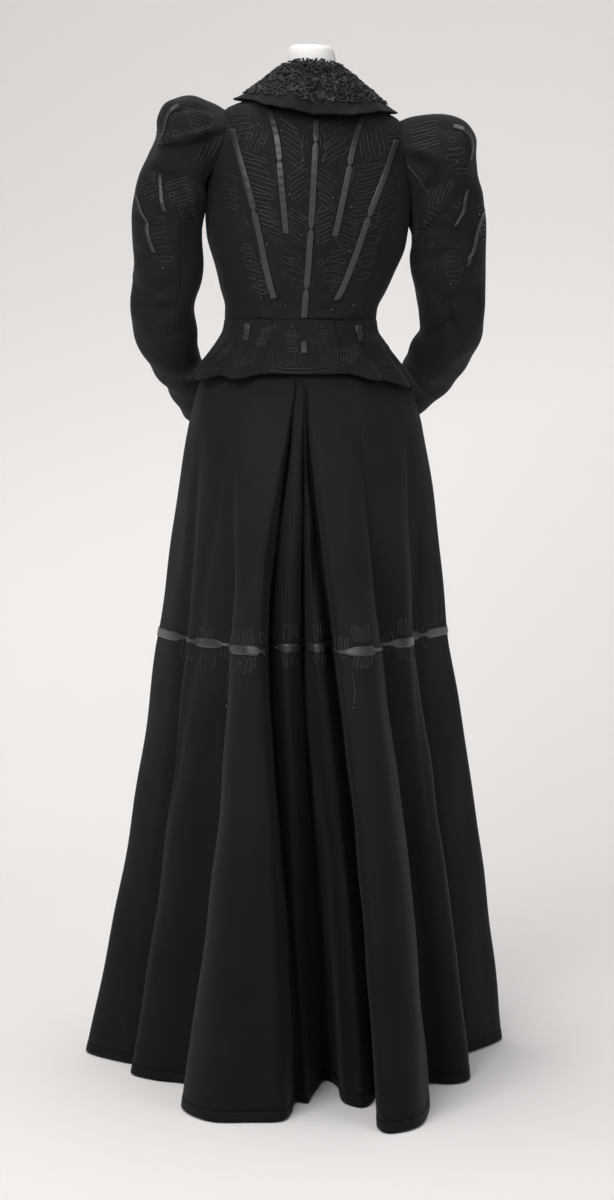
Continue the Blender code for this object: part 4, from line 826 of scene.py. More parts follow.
# Cover of the dress form
# Off-white linen stretched over the padded form, with a flat disc of the same linen on top of the neck. It
# is closed below, where the pole enters.
FORM = [
    Section(0.8030, 0.0900, 0.0700, 0.0650, 2.00),
    Section(0.8060, 0.1080, 0.0850, 0.0800, 2.05),
    Section(0.8200, 0.1270, 0.1000, 0.0950, 2.10),
    Section(0.8500, 0.1400, 0.1110, 0.1040, 2.10),
    Section(0.9000, 0.1400, 0.1160, 0.1020, 2.10),
    Section(0.9500, 0.1290, 0.1090, 0.0960, 2.10),
    Section(1.0000, 0.1040, 0.0880, 0.0820, 2.10),
    Section(1.0350, 0.0985, 0.0790, 0.0765, 2.10),
    Section(1.0500, 0.0996, 0.0805, 0.0790, 2.10),
    Section(1.0620, 0.1060, 0.0850, 0.0860, 2.10),
    Section(1.0760, 0.1120, 0.0888, 0.0920, 2.15),
    Section(1.1040, 0.1218, 0.0943, 0.1045, 2.20),
    Section(1.1460, 0.1362, 0.1017, 0.1190, 2.25),
    Section(1.1800, 0.1390, 0.1070, 0.1250, 2.25),
    Section(1.2200, 0.1360, 0.1085, 0.1210, 2.20),
    Section(1.2700, 0.1290, 0.1025, 0.1025, 2.15),
    Section(1.3000, 0.1190, 0.0900, 0.0840, 2.15),
    Section(1.3130, 0.1080, 0.0790, 0.0720, 2.10),
    Section(1.3270, 0.0850, 0.0640, 0.0590, 2.05),
    Section(1.3420, 0.0545, 0.0480, 0.0460, 2.00),
    Section(1.3600, 0.0400, 0.0410, 0.0410, 2.00),
    Section(1.3850, 0.0345, 0.0370, 0.0380, 2.00),
    Section(1.4060, 0.0310, 0.0340, 0.0350, 2.00),
    Section(1.4110, 0.0260, 0.0290, 0.0300, 2.00),
]
SECTION_TABLES["form"] = FORM
rows = np.concatenate((np.linspace(FORM[0].height, 1.30, 70), np.linspace(1.303, FORM[-1].height, 60)))
deg = np.arange(0, 360, 3.0)[:, None]
ease = np.where(rows < NECK_HEIGHT, -0.0011, 0.0)[None, :]
points = section_point("form", deg + 0 * rows[None, :], rows[None, :] + 0 * deg, ease)
middle_top = points[:, -1].mean(axis=0)
middle_foot = points[:, 0].mean(axis=0)
top = [middle_top + (points[:, -1] - middle_top) * share + np.array((0, 0, 0.0006 * (1 - share ** 2)))
       for share in (0.97, 0.85, 0.6, 0.3, 0.0)]
foot = [middle_foot + (points[:, 0] - middle_foot) * share for share in (0.0, 0.4, 0.8)]
points = np.concatenate((np.stack(foot, axis=1), points, np.stack(top, axis=1)), axis=1)
normals = grid_normals(points, 1, wraps=True)
piece = shell("form_cover", points, normals, LINEN, 0.0010, wraps=True, node="form_torso",
              inward=False)
closing = bmesh.new()
closing.from_mesh(piece.data)
bmesh.ops.remove_doubles(closing, verts=closing.verts, dist=1e-6)
closing.to_mesh(piece.data)
closing.free()

# Waistband
# A narrow band of black wool, doubled and sewn to the top of the skirt, hidden under the jacket.
deg = np.arange(0, 360, 3.0)[:, None]
height = np.linspace(1.0350, 1.0530, 7)[None, :]
points = section_point("torso", deg + 0 * height, height + 0 * deg, -0.0030)
normals = grid_normals(points, 1, wraps=True)
piece = shell("skirt_band", points, normals, SKIRT_WOOL, 0.0012, wraps=True, node="skirt_waistband")

# Peplum
# Two shaped basque pieces sewn round the waist, each with a soft flute behind the side, and a flat tab over
# them at the centre back.
PEPLUM_TOP = 1.0347
TAB_HALF_DEG = 22.0
TAB_BOTTOM = 0.9615
TAB_LIFT = JACKET_WALL + 0.0009
PEPLUM_BACK_BOTTOM = 0.9630
SideCut = namedtuple("SideCut", "bottom flute_span flute_depth flat area")
SIDE_CUTS = {"left": SideCut(0.9560, 27.0, 0.0090, (0.39, 0.10), 0.032),
             "right": SideCut(0.9400, 24.0, 0.0120, (0.42, 0.12), 0.038)}
PEPLUM_CREASES = [
    Crease(-0.0040, 4, [(236, 338), (226, 352), (217, 370)]),
    Crease(0.0034, 5, [(246, 338), (240, 356), (236, 374)]),
    Crease(-0.0043, 4, [(362, 337), (366, 350), (369, 366)]),
    Crease(0.0042, 5, [(376, 336), (384, 352), (389, 372)]),
    Crease(-0.0040, 4, [(390, 336), (399, 350), (404, 366)]),
    Crease(-0.0022, 4, [(206, 348), (199, 360), (194, 374)]),
]


def peplum_points(side, deg, v):
    """Points of one side of the peplum, with its flute behind the side."""
    cut = SIDE_CUTS[side]
    from_tab = np.maximum(0.0, 90 - TAB_HALF_DEG - deg)
    wave = 0.5 - 0.5 * np.cos(np.radians(from_tab / cut.flute_span * 360))
    bottom = PEPLUM_BACK_BOTTOM + (cut.bottom - PEPLUM_BACK_BOTTOM) * np.minimum(1.0, from_tab / 60.0)
    height = PEPLUM_TOP + (bottom - 0.0050 * wave - PEPLUM_TOP) * v
    behind = np.clip(0.5 + deg / 40.0, 0.0, 1.0)
    depth = cut.flute_depth * (0.4 + 0.6 * behind)
    out = depth * wave * np.maximum(v, 0.0) ** 1.5
    return section_point("peplum", mirrored(side, deg + 0 * v), height, out)


def peplum_finish(points, outward, lift=0.0):
    """The peplum's cloth with its creases, and its normals."""
    normals = grid_normals(points, outward)
    points = creased(points, normals, PEPLUM_CREASES)
    points = creased(points, normals, PEPLUM_CREASES, front=True)
    points = uneven(points, normals, 0.0008, 0.05)
    return points + normals * lift, normals


for side, sign in SIDES.items():
    deg = np.linspace(90 - TAB_HALF_DEG + 3.0, -90 + SEAM_DEG, 130)[:, None]
    v = np.linspace(0, 1, 28)[None, :]
    points, normals = peplum_finish(peplum_points(side, deg, v), sign)
    piece = shell("peplum_side_" + side, points, normals, JACKET_WOOL, JACKET_WALL, outward=sign,
                  node="peplum_" + side)
deg = np.linspace(90 + TAB_HALF_DEG, 90 - TAB_HALF_DEG, 36)[:, None]
height = np.linspace(PEPLUM_TOP, TAB_BOTTOM, 28)[None, :]
points = section_point("peplum", deg + 0 * height, height + 0 * deg)
points, normals = peplum_finish(points, 1, TAB_LIFT)
piece = shell("peplum_tab", points, normals, JACKET_WOOL, JACKET_WALL, outward=1, node="peplum_centre_tab")

# Sleeves
# Each sleeve is cut in two, a wide upper sleeve puffed at the shoulder and a narrow under sleeve, sewn into
# the armhole and tapering past the bent elbow to a plain cuff edge. Diagonal folds cross the arm.
SLEEVE_WALL = 0.0015
Ring = namedtuple("Ring", "outer_x outer_z inner_x inner_z y depth tip squareness")
SLEEVE = {
    "left": [
        Ring(0.1420, 1.3250, 0.1432, 1.1735, -0.007, 0.0690, 0, 2.1),
        Ring(0.1690, 1.3310, 0.1442, 1.1690, -0.006, 0.0770, 0, 2.5),
        Ring(0.2000, 1.3225, 0.1450, 1.1650, -0.004, 0.0800, 0, 3.0),
        Ring(0.2122, 1.2985, 0.1455, 1.1605, -0.004, 0.0800, 0, 3.0),
        Ring(0.2150, 1.2705, 0.1455, 1.1560, -0.004, 0.0780, 0, 2.8),
        Ring(0.2246, 1.2470, 0.1450, 1.1510, -0.002, 0.0710, 0, 2.3),
        Ring(0.2364, 1.2205, 0.1440, 1.1440, 0.000, 0.0690, 0, 2.1),
        Ring(0.2421, 1.1850, 0.1425, 1.1310, 0.000, 0.0640, 0, 2.0),
        Ring(0.2413, 1.1390, 0.1405, 1.1070, 0.000, 0.0570, 0, 2.0),
        Ring(0.2358, 1.0970, 0.1405, 1.0785, -0.002, 0.0520, -4, 2.0),
        Ring(0.2369, 1.0580, 0.1470, 1.0480, -0.008, 0.0490, -12, 2.0),
        Ring(0.2330, 1.0256, 0.1440, 1.0204, -0.024, 0.0460, -26, 2.0),
        Ring(0.2225, 0.9985, 0.1400, 0.9940, -0.052, 0.0430, -38, 2.0),
        Ring(0.2070, 0.9745, 0.1330, 0.9700, -0.088, 0.0380, -44, 2.0),
        Ring(0.1885, 0.9495, 0.1190, 0.9470, -0.128, 0.0340, -48, 2.0),
        Ring(0.1735, 0.9245, 0.1020, 0.9220, -0.160, 0.0315, -50, 2.0),
        Ring(0.1595, 0.9035, 0.0935, 0.9010, -0.190, 0.0290, -51, 2.0),
    ],
    "right": [
        Ring(0.1430, 1.3255, 0.1435, 1.1735, -0.007, 0.0690, 0, 2.1),
        Ring(0.1710, 1.3285, 0.1450, 1.1690, -0.006, 0.0770, 0, 2.5),
        Ring(0.2090, 1.3220, 0.1465, 1.1645, -0.004, 0.0800, 0, 3.0),
        Ring(0.2250, 1.3030, 0.1475, 1.1600, -0.004, 0.0800, 0, 3.0),
        Ring(0.2255, 1.2755, 0.1475, 1.1555, -0.004, 0.0780, 0, 2.8),
        Ring(0.2310, 1.2530, 0.1475, 1.1505, -0.002, 0.0710, 0, 2.3),
        Ring(0.2410, 1.2270, 0.1470, 1.1430, 0.000, 0.0690, 0, 2.1),
        Ring(0.2460, 1.1920, 0.1455, 1.1290, 0.000, 0.0640, 0, 2.0),
        Ring(0.2500, 1.1465, 0.1480, 1.1020, 0.000, 0.0570, 0, 2.0),
        Ring(0.2520, 1.1030, 0.1565, 1.0740, -0.002, 0.0520, -4, 2.0),
        Ring(0.2560, 1.0610, 0.1675, 1.0460, -0.008, 0.0490, -12, 2.0),
        Ring(0.2570, 1.0265, 0.1690, 1.0200, -0.024, 0.0460, -26, 2.0),
        Ring(0.2490, 0.9985, 0.1585, 0.9940, -0.050, 0.0430, -38, 2.0),
        Ring(0.2370, 0.9745, 0.1520, 0.9700, -0.084, 0.0390, -44, 2.0),
        Ring(0.2240, 0.9495, 0.1460, 0.9470, -0.124, 0.0350, -48, 2.0),
        Ring(0.2010, 0.9245, 0.1300, 0.9220, -0.160, 0.0315, -50, 2.0),
        Ring(0.1840, 0.9035, 0.1180, 0.9010, -0.190, 0.0290, -51, 2.0),
    ],
}
SLEEVE_CREASES = [
    Crease(-0.0102, 3.0, [(157, 145), (178, 146), (200, 140), (226, 133)]),
    Crease(0.0072, 4.5, [(157, 139), (178, 140), (200, 134), (224, 127)]),
    Crease(-0.0034, 4.0, [(165, 112), (190, 106), (220, 112)]),
    Crease(-0.0059, 5.0, [(150, 168), (172, 178), (196, 178), (212, 190)]),
    Crease(-0.0076, 5.0, [(206, 170), (211, 195), (207, 225)]),
    Crease(0.0054, 7.0, [(140, 190), (165, 205), (190, 214)]),
    Crease(-0.0059, 5.0, [(128, 212), (150, 226), (176, 232)]),
    Crease(-0.0051, 5.0, [(121, 243), (146, 258), (178, 256)]),
    Crease(0.0050, 6.0, [(124, 262), (150, 274), (180, 270)]),
    Crease(-0.0071, 4.5, [(122, 282), (146, 296), (174, 288)]),
    Crease(-0.0061, 4.5, [(130, 300), (156, 312), (182, 306)]),
    Crease(0.0047, 5.0, [(136, 312), (160, 324), (184, 318)]),
    Crease(-0.0051, 4.5, [(142, 328), (166, 338), (186, 330)]),
    Crease(-0.0102, 4.0, [(401, 156), (418, 160), (436, 171), (431, 184), (420, 196)]),
    Crease(0.0065, 5.0, [(404, 147), (424, 151), (446, 163), (444, 182)]),
    Crease(-0.0034, 4.0, [(405, 128), (430, 124), (462, 130)]),
    Crease(-0.0076, 5.0, [(402, 178), (404, 205), (410, 232)]),
    Crease(0.0050, 6.0, [(424, 212), (448, 206), (474, 216)]),
    Crease(-0.0061, 5.0, [(418, 232), (444, 226), (474, 238)]),
    Crease(-0.0058, 5.0, [(424, 262), (450, 252), (482, 262)]),
    Crease(0.0047, 6.0, [(424, 276), (452, 270), (482, 280)]),
    Crease(-0.0071, 4.5, [(426, 288), (444, 300), (452, 322), (460, 348)]),
    Crease(-0.0058, 4.5, [(428, 312), (450, 300), (480, 296)]),
    Crease(-0.0051, 4.5, [(424, 338), (446, 324), (472, 316)]),
]
SLEEVE_FRONT_CREASES = [
    Crease(-0.0085, 4.0, [(160, 146), (185, 150), (218, 142)]),
    Crease(-0.0061, 5.0, [(134, 214), (156, 224), (184, 218)]),
    Crease(-0.0061, 5.0, [(124, 252), (148, 262), (178, 252)]),
    Crease(-0.0058, 5.0, [(128, 292), (152, 300), (182, 288)]),
    Crease(0.0047, 6.0, [(126, 272), (150, 282), (180, 270)]),
    Crease(-0.0085, 4.0, [(406, 158), (430, 164), (464, 156)]),
    Crease(-0.0061, 5.0, [(418, 222), (444, 234), (474, 226)]),
    Crease(-0.0058, 5.0, [(422, 266), (450, 276), (482, 262)]),
    Crease(-0.0058, 5.0, [(426, 306), (450, 316), (478, 300)]),
]


def sleeve_knots(side, phase):
    """The points in which lines along the sleeve meet its seam and its rings."""
    sign = SIDES[side]
    cosine = np.cos(np.radians(phase))
    sine = np.sin(np.radians(phase))
    around = np.mod(phase, 360.0)
    height = ARMHOLE_MIDDLE + ARMHOLE_HALF * np.cos(np.radians(around))
    seam = section_point("torso", mirrored(side, armhole_degrees(around)), height)
    knots = [seam + np.array((sign * 0.0007, 0, 0))]
    for ring in SLEEVE[side]:
        outer = leaned(np.float64(sign * ring.outer_x), ring.y, ring.outer_z)
        inner = leaned(np.float64(sign * ring.inner_x), ring.y, ring.inner_z)
        tip = math.radians(ring.tip)
        deep = np.array((0, math.cos(tip), math.sin(tip))) * ring.depth
        power = 2 / ring.squareness
        reach = (np.sign(cosine) * np.abs(cosine) ** power)[..., None]
        depth = (np.sign(sine) * np.abs(sine) ** power)[..., None]
        knots.append((outer + inner) / 2 + (outer - inner) / 2 * reach + deep * depth)
    return np.stack(knots)


def sleeve_points(side, phase, row):
    """Points of the sleeve: phase 0 is its outer side, 90 its back, row 0 the armhole."""
    phase, row = np.broadcast_arrays(np.asarray(phase, float), np.asarray(row, float))
    knots = sleeve_knots(side, phase)
    last = len(knots) - 1
    at = np.clip(np.floor(row).astype(int), 0, last - 1)
    i, j = np.indices(row.shape)

    def knot(step):
        return knots[np.clip(at + step, 0, last), i, j]

    t = (row - at)[..., None]
    return hermite(knot(0), knot(1), (knot(1) - knot(-1)) / 2, (knot(2) - knot(0)) / 2, t)


def sleeve_finish(points, outward, lift=0.0):
    """The sleeve's cloth with its creases, and its normals."""
    normals = grid_normals(points, outward)
    points = creased(points, normals, SLEEVE_CREASES)
    points = creased(points, normals, SLEEVE_FRONT_CREASES, front=True)
    points = uneven(points, normals, 0.0016, 0.06)
    return points + normals * lift, normals


SLEEVE_WOOL = wool_material("sleeve_wool", (0.0085, 0.0085, 0.0085), (0.0120, 0.0120, 0.0118))
UPPER_SEAM = 112.0
for side, sign in SIDES.items():
    rows = np.linspace(0, len(SLEEVE[side]), 150)[None, :]
    phase = np.linspace(UPPER_SEAM - 0.20, -UPPER_SEAM + 0.20, 96)[:, None]
    points, normals = sleeve_finish(sleeve_points(side, phase, rows), sign)
    piece = shell("sleeve_top_" + side, points, normals, SLEEVE_WOOL, SLEEVE_WALL, outward=sign,
                  node="sleeve_upper_" + side)
    phase = np.linspace(360 - UPPER_SEAM - 0.20, UPPER_SEAM + 0.20, 48)[:, None]
    points, normals = sleeve_finish(sleeve_points(side, phase, rows), sign)
    piece = shell("sleeve_under_piece_" + side, points, normals, SLEEVE_WOOL, SLEEVE_WALL, outward=sign,
                  node="sleeve_under_" + side)

# Seams
# The sewn seams of the armholes, back, sides, sleeves and waist, and the edges that meet at the centre
# front, each a slight rolled line of the same wool that closes the join between two pieces.


def tubes(name, paths, across, upright, material, sides=6):
    """Cords of one oval size sewn along paths, each a row of points with the cloth's normals."""
    points = []
    faces = []
    turns = 2 * math.pi * np.arange(sides) / sides
    for path, normals in paths:
        tangents = np.gradient(path, axis=0)
        tangents /= np.maximum(np.linalg.norm(tangents, axis=1, keepdims=True), 1e-12)
        flat = np.cross(tangents, normals)
        flat /= np.maximum(np.linalg.norm(flat, axis=1, keepdims=True), 1e-12)
        up = np.cross(flat, tangents)
        rings = (path[:, None] + flat[:, None] * (across * np.cos(turns))[None, :, None]
                 + up[:, None] * (upright * np.sin(turns))[None, :, None])
        start = len(points)
        points += rings.reshape(-1, 3).tolist()
        for i in range(len(path) - 1):
            here = start + i * sides
            for k in range(sides):
                n = (k + 1) % sides
                faces.append((here + k, here + sides + k, here + sides + n, here + n))
        end = start + (len(path) - 1) * sides
        faces.append(tuple(start + k for k in range(sides)))
        faces.append(tuple(end + k for k in reversed(range(sides))))
    placed(name, points, faces, material)


SEAM_SINK = 0.0008


def edge_path(points, normals, sink=SEAM_SINK):
    """One edge of a sheet as a path, sunk a little under its face."""
    return points - normals * sink, normals


seam_paths = []
for side, sign in SIDES.items():
    for name, edges in (("centre_back", (-1,)), ("underarm", (0, -1)), ("front", (0, -1))):
        u = np.linspace(0, 1, 40)[:, None]
        points, normals = jacket_finish(panel_points(name, side, u), -sign)
        for edge in edges:
            seam_paths.append(edge_path(points[edge][::2], normals[edge][::2]))
    phase = np.linspace(0, 360, 73)[:, None]
    points, normals = sleeve_finish(sleeve_points(side, phase, np.linspace(0, 0.2, 4)[None, :]), -sign)
    seam_paths.append(edge_path(points[:, 0], normals[:, 0], 0.0006))
    for edge in (UPPER_SEAM, -UPPER_SEAM):
        phase = np.linspace(edge - 2, edge + 2, 3)[:, None]
        rows = np.linspace(0, len(SLEEVE[side]), 90)[None, :]
        points, normals = sleeve_finish(sleeve_points(side, phase, rows), -sign)
        seam_paths.append(edge_path(points[1], normals[1]))
points, normals = jacket_finish(panel_points("centre_back", "left", np.linspace(0, 1, 40)[:, None]), -1)
seam_paths.append(edge_path(points[0][::2], normals[0][::2]))
deg = np.linspace(0, 360, 181)[:, None]
points = section_point("torso", deg + np.zeros((1, 3)), np.linspace(1.0351, 1.0361, 3)[None, :] + 0 * deg)
seam_paths.append(edge_path(points[:, 0], grid_normals(points)[:, 0]))
tubes("jacket_seams", seam_paths, 0.0009, 0.0007, JACKET_WOOL)

# Collar
# A high collar of stiffened wool that rolls over into a wide flaring fall. The fall is covered with a thick
# applique of corded scrolls and leaves sewn down with jet beads, above a plain band at its edge.
COLLAR_WALL = 0.0018
Profile = namedtuple("Profile", "share half_width back front height")
COLLAR = [
    Profile(0.00, 0.0600, 0.0527, 0.0507, 1.3458),
    Profile(0.12, 0.0500, 0.0470, 0.0470, 1.3630),
    Profile(0.24, 0.0425, 0.0440, 0.0440, 1.3830),
    Profile(0.28, 0.0440, 0.0465, 0.0460, 1.3880),
    Profile(0.34, 0.0500, 0.0540, 0.0520, 1.3845),
    Profile(0.50, 0.0660, 0.0710, 0.0650, 1.3700),
    Profile(0.68, 0.0830, 0.0890, 0.0790, 1.3540),
    Profile(0.84, 0.0960, 0.1030, 0.0900, 1.3410),
    Profile(1.00, 0.1090, 0.1160, 0.1000, 1.3310),
]
Hole = namedtuple("Hole", "deg share")
COLLAR_HOLES = [Hole(76, 0.40), Hole(104, 0.47), Hole(52, 0.54)]
HOLE_RADIUS = 0.0030
BAND_SHARE = 0.86
COLLAR_CREASES = [
    Crease(-0.0050, 4.0, [(322, 80), (315, 92), (312, 106), (316, 116)]),
    Crease(0.0030, 4.0, [(332, 84), (334, 98), (333, 114)]),
    Crease(-0.0036, 4.0, [(350, 92), (352, 104), (352, 114)]),
    Crease(0.0026, 5.0, [(294, 86), (292, 100), (291, 114)]),
    Crease(-0.0024, 4.0, [(272, 92), (266, 100), (258, 106)]),
    Crease(0.0020, 5.0, [(370, 96), (378, 108), (384, 120)]),
]


def collar_points(deg, share, lift=0.0):
    """Points of the collar, rippled and dropped a little at its outer edge, with their normals."""
    deg, share = np.broadcast_arrays(np.asarray(deg, float), np.asarray(share, float))

    def place(deg, share):
        stations = column(COLLAR, "share")
        half_width, back, front, height = [along(share, stations, column(COLLAR, name))
                                           for name in Profile._fields[1:]]
        fall = np.maximum(0.0, (share - 0.30) / 0.70)
        ripple = 0.0045 * fall ** 2 * np.sin(np.radians(deg * 7 + 40))
        ripple += 0.0025 * fall ** 2 * np.sin(np.radians(deg * 11))
        cosine = np.cos(np.radians(deg))
        sine = np.sin(np.radians(deg))
        drop = 0.018 * fall ** 2 * np.maximum(sine, 0.0) ** 3 + 0.005 * fall ** 2 * np.maximum(-cosine, 0.0)
        drop += 0.012 * (1 - np.maximum(sine, -0.2)) * np.minimum(share / 0.28, (1 - share) / 0.72)
        x = (half_width + ripple) * cosine - 0.004 * fall
        y = (np.where(sine >= 0, back, front) + ripple) * sine
        return leaned(x, y, height - drop)

    across = place(deg + 0.05, share) - place(deg - 0.05, share)
    down = place(deg, np.minimum(share + 0.002, 1.0)) - place(deg, np.maximum(share - 0.002, 0.0))
    normals = -np.cross(across, down)
    normals /= np.linalg.norm(normals, axis=-1, keepdims=True)
    points = creased(place(deg, share), normals, COLLAR_CREASES)
    return points + normals * lift, normals


material, nodes, links, shader = new_material("collar_applique")
where = nodes.new("ShaderNodeTexCoord").outputs["Object"]
two_tone(nodes, links, shader, where, 160, (0.0075, 0.0075, 0.0078), (0.020, 0.0195, 0.0190), 6.0)
cells = nodes.new("ShaderNodeTexVoronoi")
cells.inputs["Scale"].default_value = 420
links.new(where, cells.inputs["Vector"])
bumped(nodes, links, shader, cells.outputs["Distance"], 0.0012, 0.7)
grain(nodes, links, shader, where, 700, 0.0008, 0.5)
shader.inputs["Roughness"].default_value = 0.55
shader.inputs["Specular IOR Level"].default_value = 0.45
APPLIQUE = material
COLLAR_WOOL = wool_material("collar_wool", (0.0075, 0.0075, 0.0075), (0.0105, 0.0105, 0.0104))

deg = np.linspace(248, -68, 230)[:, None]
share = np.concatenate((np.linspace(0, 0.26, 16), np.linspace(0.28, 1.0, 60)))[None, :]
points, normals = collar_points(deg, share)
piece = shell("collar_cloth", points, normals, COLLAR_WOOL, COLLAR_WALL, outward=1, node="collar")
hole_middles = [collar_points(hole.deg, hole.share)[0] for hole in COLLAR_HOLES]
mesh = piece.data
opened = []
for face in mesh.polygons:
    gap = min(np.linalg.norm(np.array(face.center) - middle) for middle in hole_middles)
    if gap < HOLE_RADIUS:
        opened.append(face.index)
cut = bmesh.new()
cut.from_mesh(mesh)
cut.faces.ensure_lookup_table()
bmesh.ops.delete(cut, geom=[cut.faces[i] for i in opened], context="FACES")
cut.to_mesh(mesh)
cut.free()


def clear_of_holes(point):
    """Whether a place on the collar is clear of its openwork."""
    return min(np.linalg.norm(point - middle) for middle in hole_middles) > HOLE_RADIUS + 0.0016


rng = np.random.default_rng(7)
scroll_paths = []
bead_spots = []
MOTIF_DEG = 17.0
FALL_TOP = 0.300
MOTIF_COUNT = 19
LEAF_COUNT = 620
FALL_BEAD_COUNT = 520
TOP_BEAD_COUNT = 150
# A leaf's outline and its raised middle, in lengths, widths and tilts
LEAF_SPOTS = [(-1.0, 0.0, 0.0), (-0.3, 1.0, 0.2), (0.5, 0.8, 0.5), (1.0, 0.0, 1.0), (0.5, -0.8, 0.5),
              (-0.3, -1.0, 0.2), (0.1, 0.0, 1.3)]
for number in range(MOTIF_COUNT):
    middle = 246 - MOTIF_DEG * (number + 0.15)
    turn = 1 if number % 2 else -1
    start_turn = rng.uniform(0, 1)
    for level, (share_middle, reach) in enumerate([(0.43, 0.085), (0.62, 0.100), (0.78, 0.070)]):
        shift = MOTIF_DEG * (0.5 * (level % 2) + rng.uniform(-0.08, 0.08))
        t = np.linspace(0, 1, 22)
        angle = turn * 2 * math.pi * (1.5 * t + start_turn + 0.3 * level)
        radius = 1 - 0.82 * t
        narrow = 0.62 + 0.55 * share_middle
        path_deg = middle + shift + MOTIF_DEG * 0.52 * radius * np.cos(angle) / narrow
        path_share = np.clip(share_middle + reach * radius * np.sin(angle), FALL_TOP, BAND_SHARE - 0.01)
        path, ups = collar_points(path_deg, path_share, 0.0008)
        if clear_of_holes(path[0]) and min(clear_of_holes(p) for p in path):
            scroll_paths.append((path, ups))
        for k in range(0, 22, 2):
            place, up = collar_points(path_deg[k], path_share[k], 0.0022)
            if clear_of_holes(place):
                bead_spots.append((place, rng.uniform(0.0009, 0.0014)))
tubes("collar_scrolls", scroll_paths, 0.0013, 0.0012, APPLIQUE, sides=5)

leaf_points = []
leaf_faces = []
for number in range(LEAF_COUNT):
    deg = rng.uniform(-64, 244)
    share = FALL_TOP - 0.02 + (BAND_SHARE - FALL_TOP) * rng.uniform(0, 1) ** 0.9
    middle, up = collar_points(deg, share, 0.0012)
    if not clear_of_holes(middle) or not clear_of_holes(middle + 0.002):
        continue
    way = rng.normal(size=3)
    way -= up * (way @ up)
    way /= np.linalg.norm(way)
    side = np.cross(up, way)
    length = rng.uniform(0.0030, 0.0060)
    width = length * rng.uniform(0.32, 0.5)
    tilt = rng.uniform(0.0004, 0.0022)
    start = len(leaf_points)
    for ahead, beside, raised in LEAF_SPOTS:
        leaf_points.append(middle + way * length * ahead + side * width * beside + up * tilt * raised)
    leaf_points.append(middle - up * 0.0010)
    for k in range(6):
        n = (k + 1) % 6
        leaf_faces.append((start + n, start + k, start + 6))
        leaf_faces.append((start + k, start + n, start + 7))
placed("collar_leaves", [tuple(p) for p in leaf_points], leaf_faces, APPLIQUE, smooth=False)

for number in range(FALL_BEAD_COUNT):
    deg = rng.uniform(-66, 246)
    share = FALL_TOP - 0.015 + (BAND_SHARE - FALL_TOP + 0.015) * rng.uniform(0, 1)
    place, up = collar_points(deg, share, rng.uniform(0.0014, 0.0026))
    if clear_of_holes(place):
        bead_spots.append((place, rng.uniform(0.0007, 0.0013)))
for number in range(TOP_BEAD_COUNT):
    place, up = collar_points(rng.uniform(-66, 246), rng.uniform(0.262, 0.305), rng.uniform(0.0008, 0.0030))
    bead_spots.append((place, rng.uniform(0.0011, 0.0021)))


def copies(name, spots, material, smooth):
    """Copies of the ball last added, each at its own place and size. The ball itself is taken away."""
    model = bpy.context.object
    ball = np.array([tuple(vertex.co) for vertex in model.data.vertices])
    sides = [tuple(face.vertices) for face in model.data.polygons]
    bpy.data.objects.remove(model, do_unlink=True)
    points = []
    faces = []
    for place, radius in spots:
        start = len(points)
        points += (np.asarray(place) + ball * radius).tolist()
        faces += [tuple(start + corner for corner in side) for side in sides]
    placed(name, points, faces, material, smooth)


JET = surfaced("jet", 300, (0.004, 0.004, 0.0045), (0.012, 0.012, 0.013), 900, 0.0003, 0.2, 0.14, 0.7)
bpy.ops.mesh.primitive_ico_sphere_add(subdivisions=1, radius=1.0, location=(0, 0, 0))
copies("collar_jet_beads", bead_spots, JET, smooth=False)

# Ribbons
# Narrow black satin ribbons sewn down the back, the sleeves and the peplum, fanning from the collar and
# pinched into small knots. A like ribbon runs round the skirt at the knee.
RIBBON_WALL = 0.0010
RIBBON_WIDTH = 0.0088
RIBBON_LIFT = 0.0006
KNOT_WIDTH = 0.0035
material, nodes, links, shader = new_material("ribbon_satin")
coordinates = nodes.new("ShaderNodeTexCoord")
# Lengthwise streaks that are both a slight ridged relief and painted sheen: the same waves swing the colour
# between dark and light like satin's shine.
ridges_and_painted_sheen = nodes.new("ShaderNodeTexWave")
ridges_and_painted_sheen.bands_direction = "X"
ridges_and_painted_sheen.inputs["Scale"].default_value = math.pi / 10 / 0.0022
ridges_and_painted_sheen.inputs["Distortion"].default_value = 1.2
ridges_and_painted_sheen.inputs["Detail"].default_value = 3.0
links.new(coordinates.outputs["UV"], ridges_and_painted_sheen.inputs["Vector"])
tone = nodes.new("ShaderNodeValToRGB")
tone.color_ramp.elements[0].color = (0.0110, 0.0110, 0.0106, 1)
tone.color_ramp.elements[1].color = (0.052, 0.051, 0.048, 1)
links.new(ridges_and_painted_sheen.outputs["Fac"], tone.inputs["Fac"])
links.new(tone.outputs["Color"], shader.inputs["Base Color"])
bumped(nodes, links, shader, ridges_and_painted_sheen.outputs["Fac"], 0.0003, 0.5)
grain(nodes, links, shader, coordinates.outputs["Object"], 120, 0.0008, 0.35)
shader.inputs["Roughness"].default_value = 0.34
shader.inputs["Specular IOR Level"].default_value = 0.5
# Painted shade: the ribbons darken upwards towards the collar.
painted_shade_by_height(nodes, links, shader, 1.20, 1.33, 1.0, 0.42)
SATIN = material
UNDULATION = 0.0004


def strip_half(share, knots):
    """Half the ribbon's width along a strip, narrowed to a knot at the shares given."""
    width = np.full(np.shape(share), RIBBON_WIDTH)
    for knot in knots:
        width = np.minimum(width, KNOT_WIDTH + np.abs(share - knot) * 0.22)
    return width / 2


def ribbon(name, points, normals, outward, node, wraps=False):
    """One satin ribbon, a little rounded over its width and puckered along it."""
    if not wraps:
        columns, rows = points.shape[:2]
        bow = np.cos(np.linspace(-1.2, 1.2, columns))[:, None]
        ripple = np.sin(np.arange(rows) * 0.9)[None, :] * UNDULATION / 2
        points = points + normals * (0.0004 * (bow - 0.36) + ripple * bow)[..., None]
    piece = shell(name, points, normals, SATIN, RIBBON_WALL, wraps=wraps, outward=outward, node=node)
    SHELLS.pop()


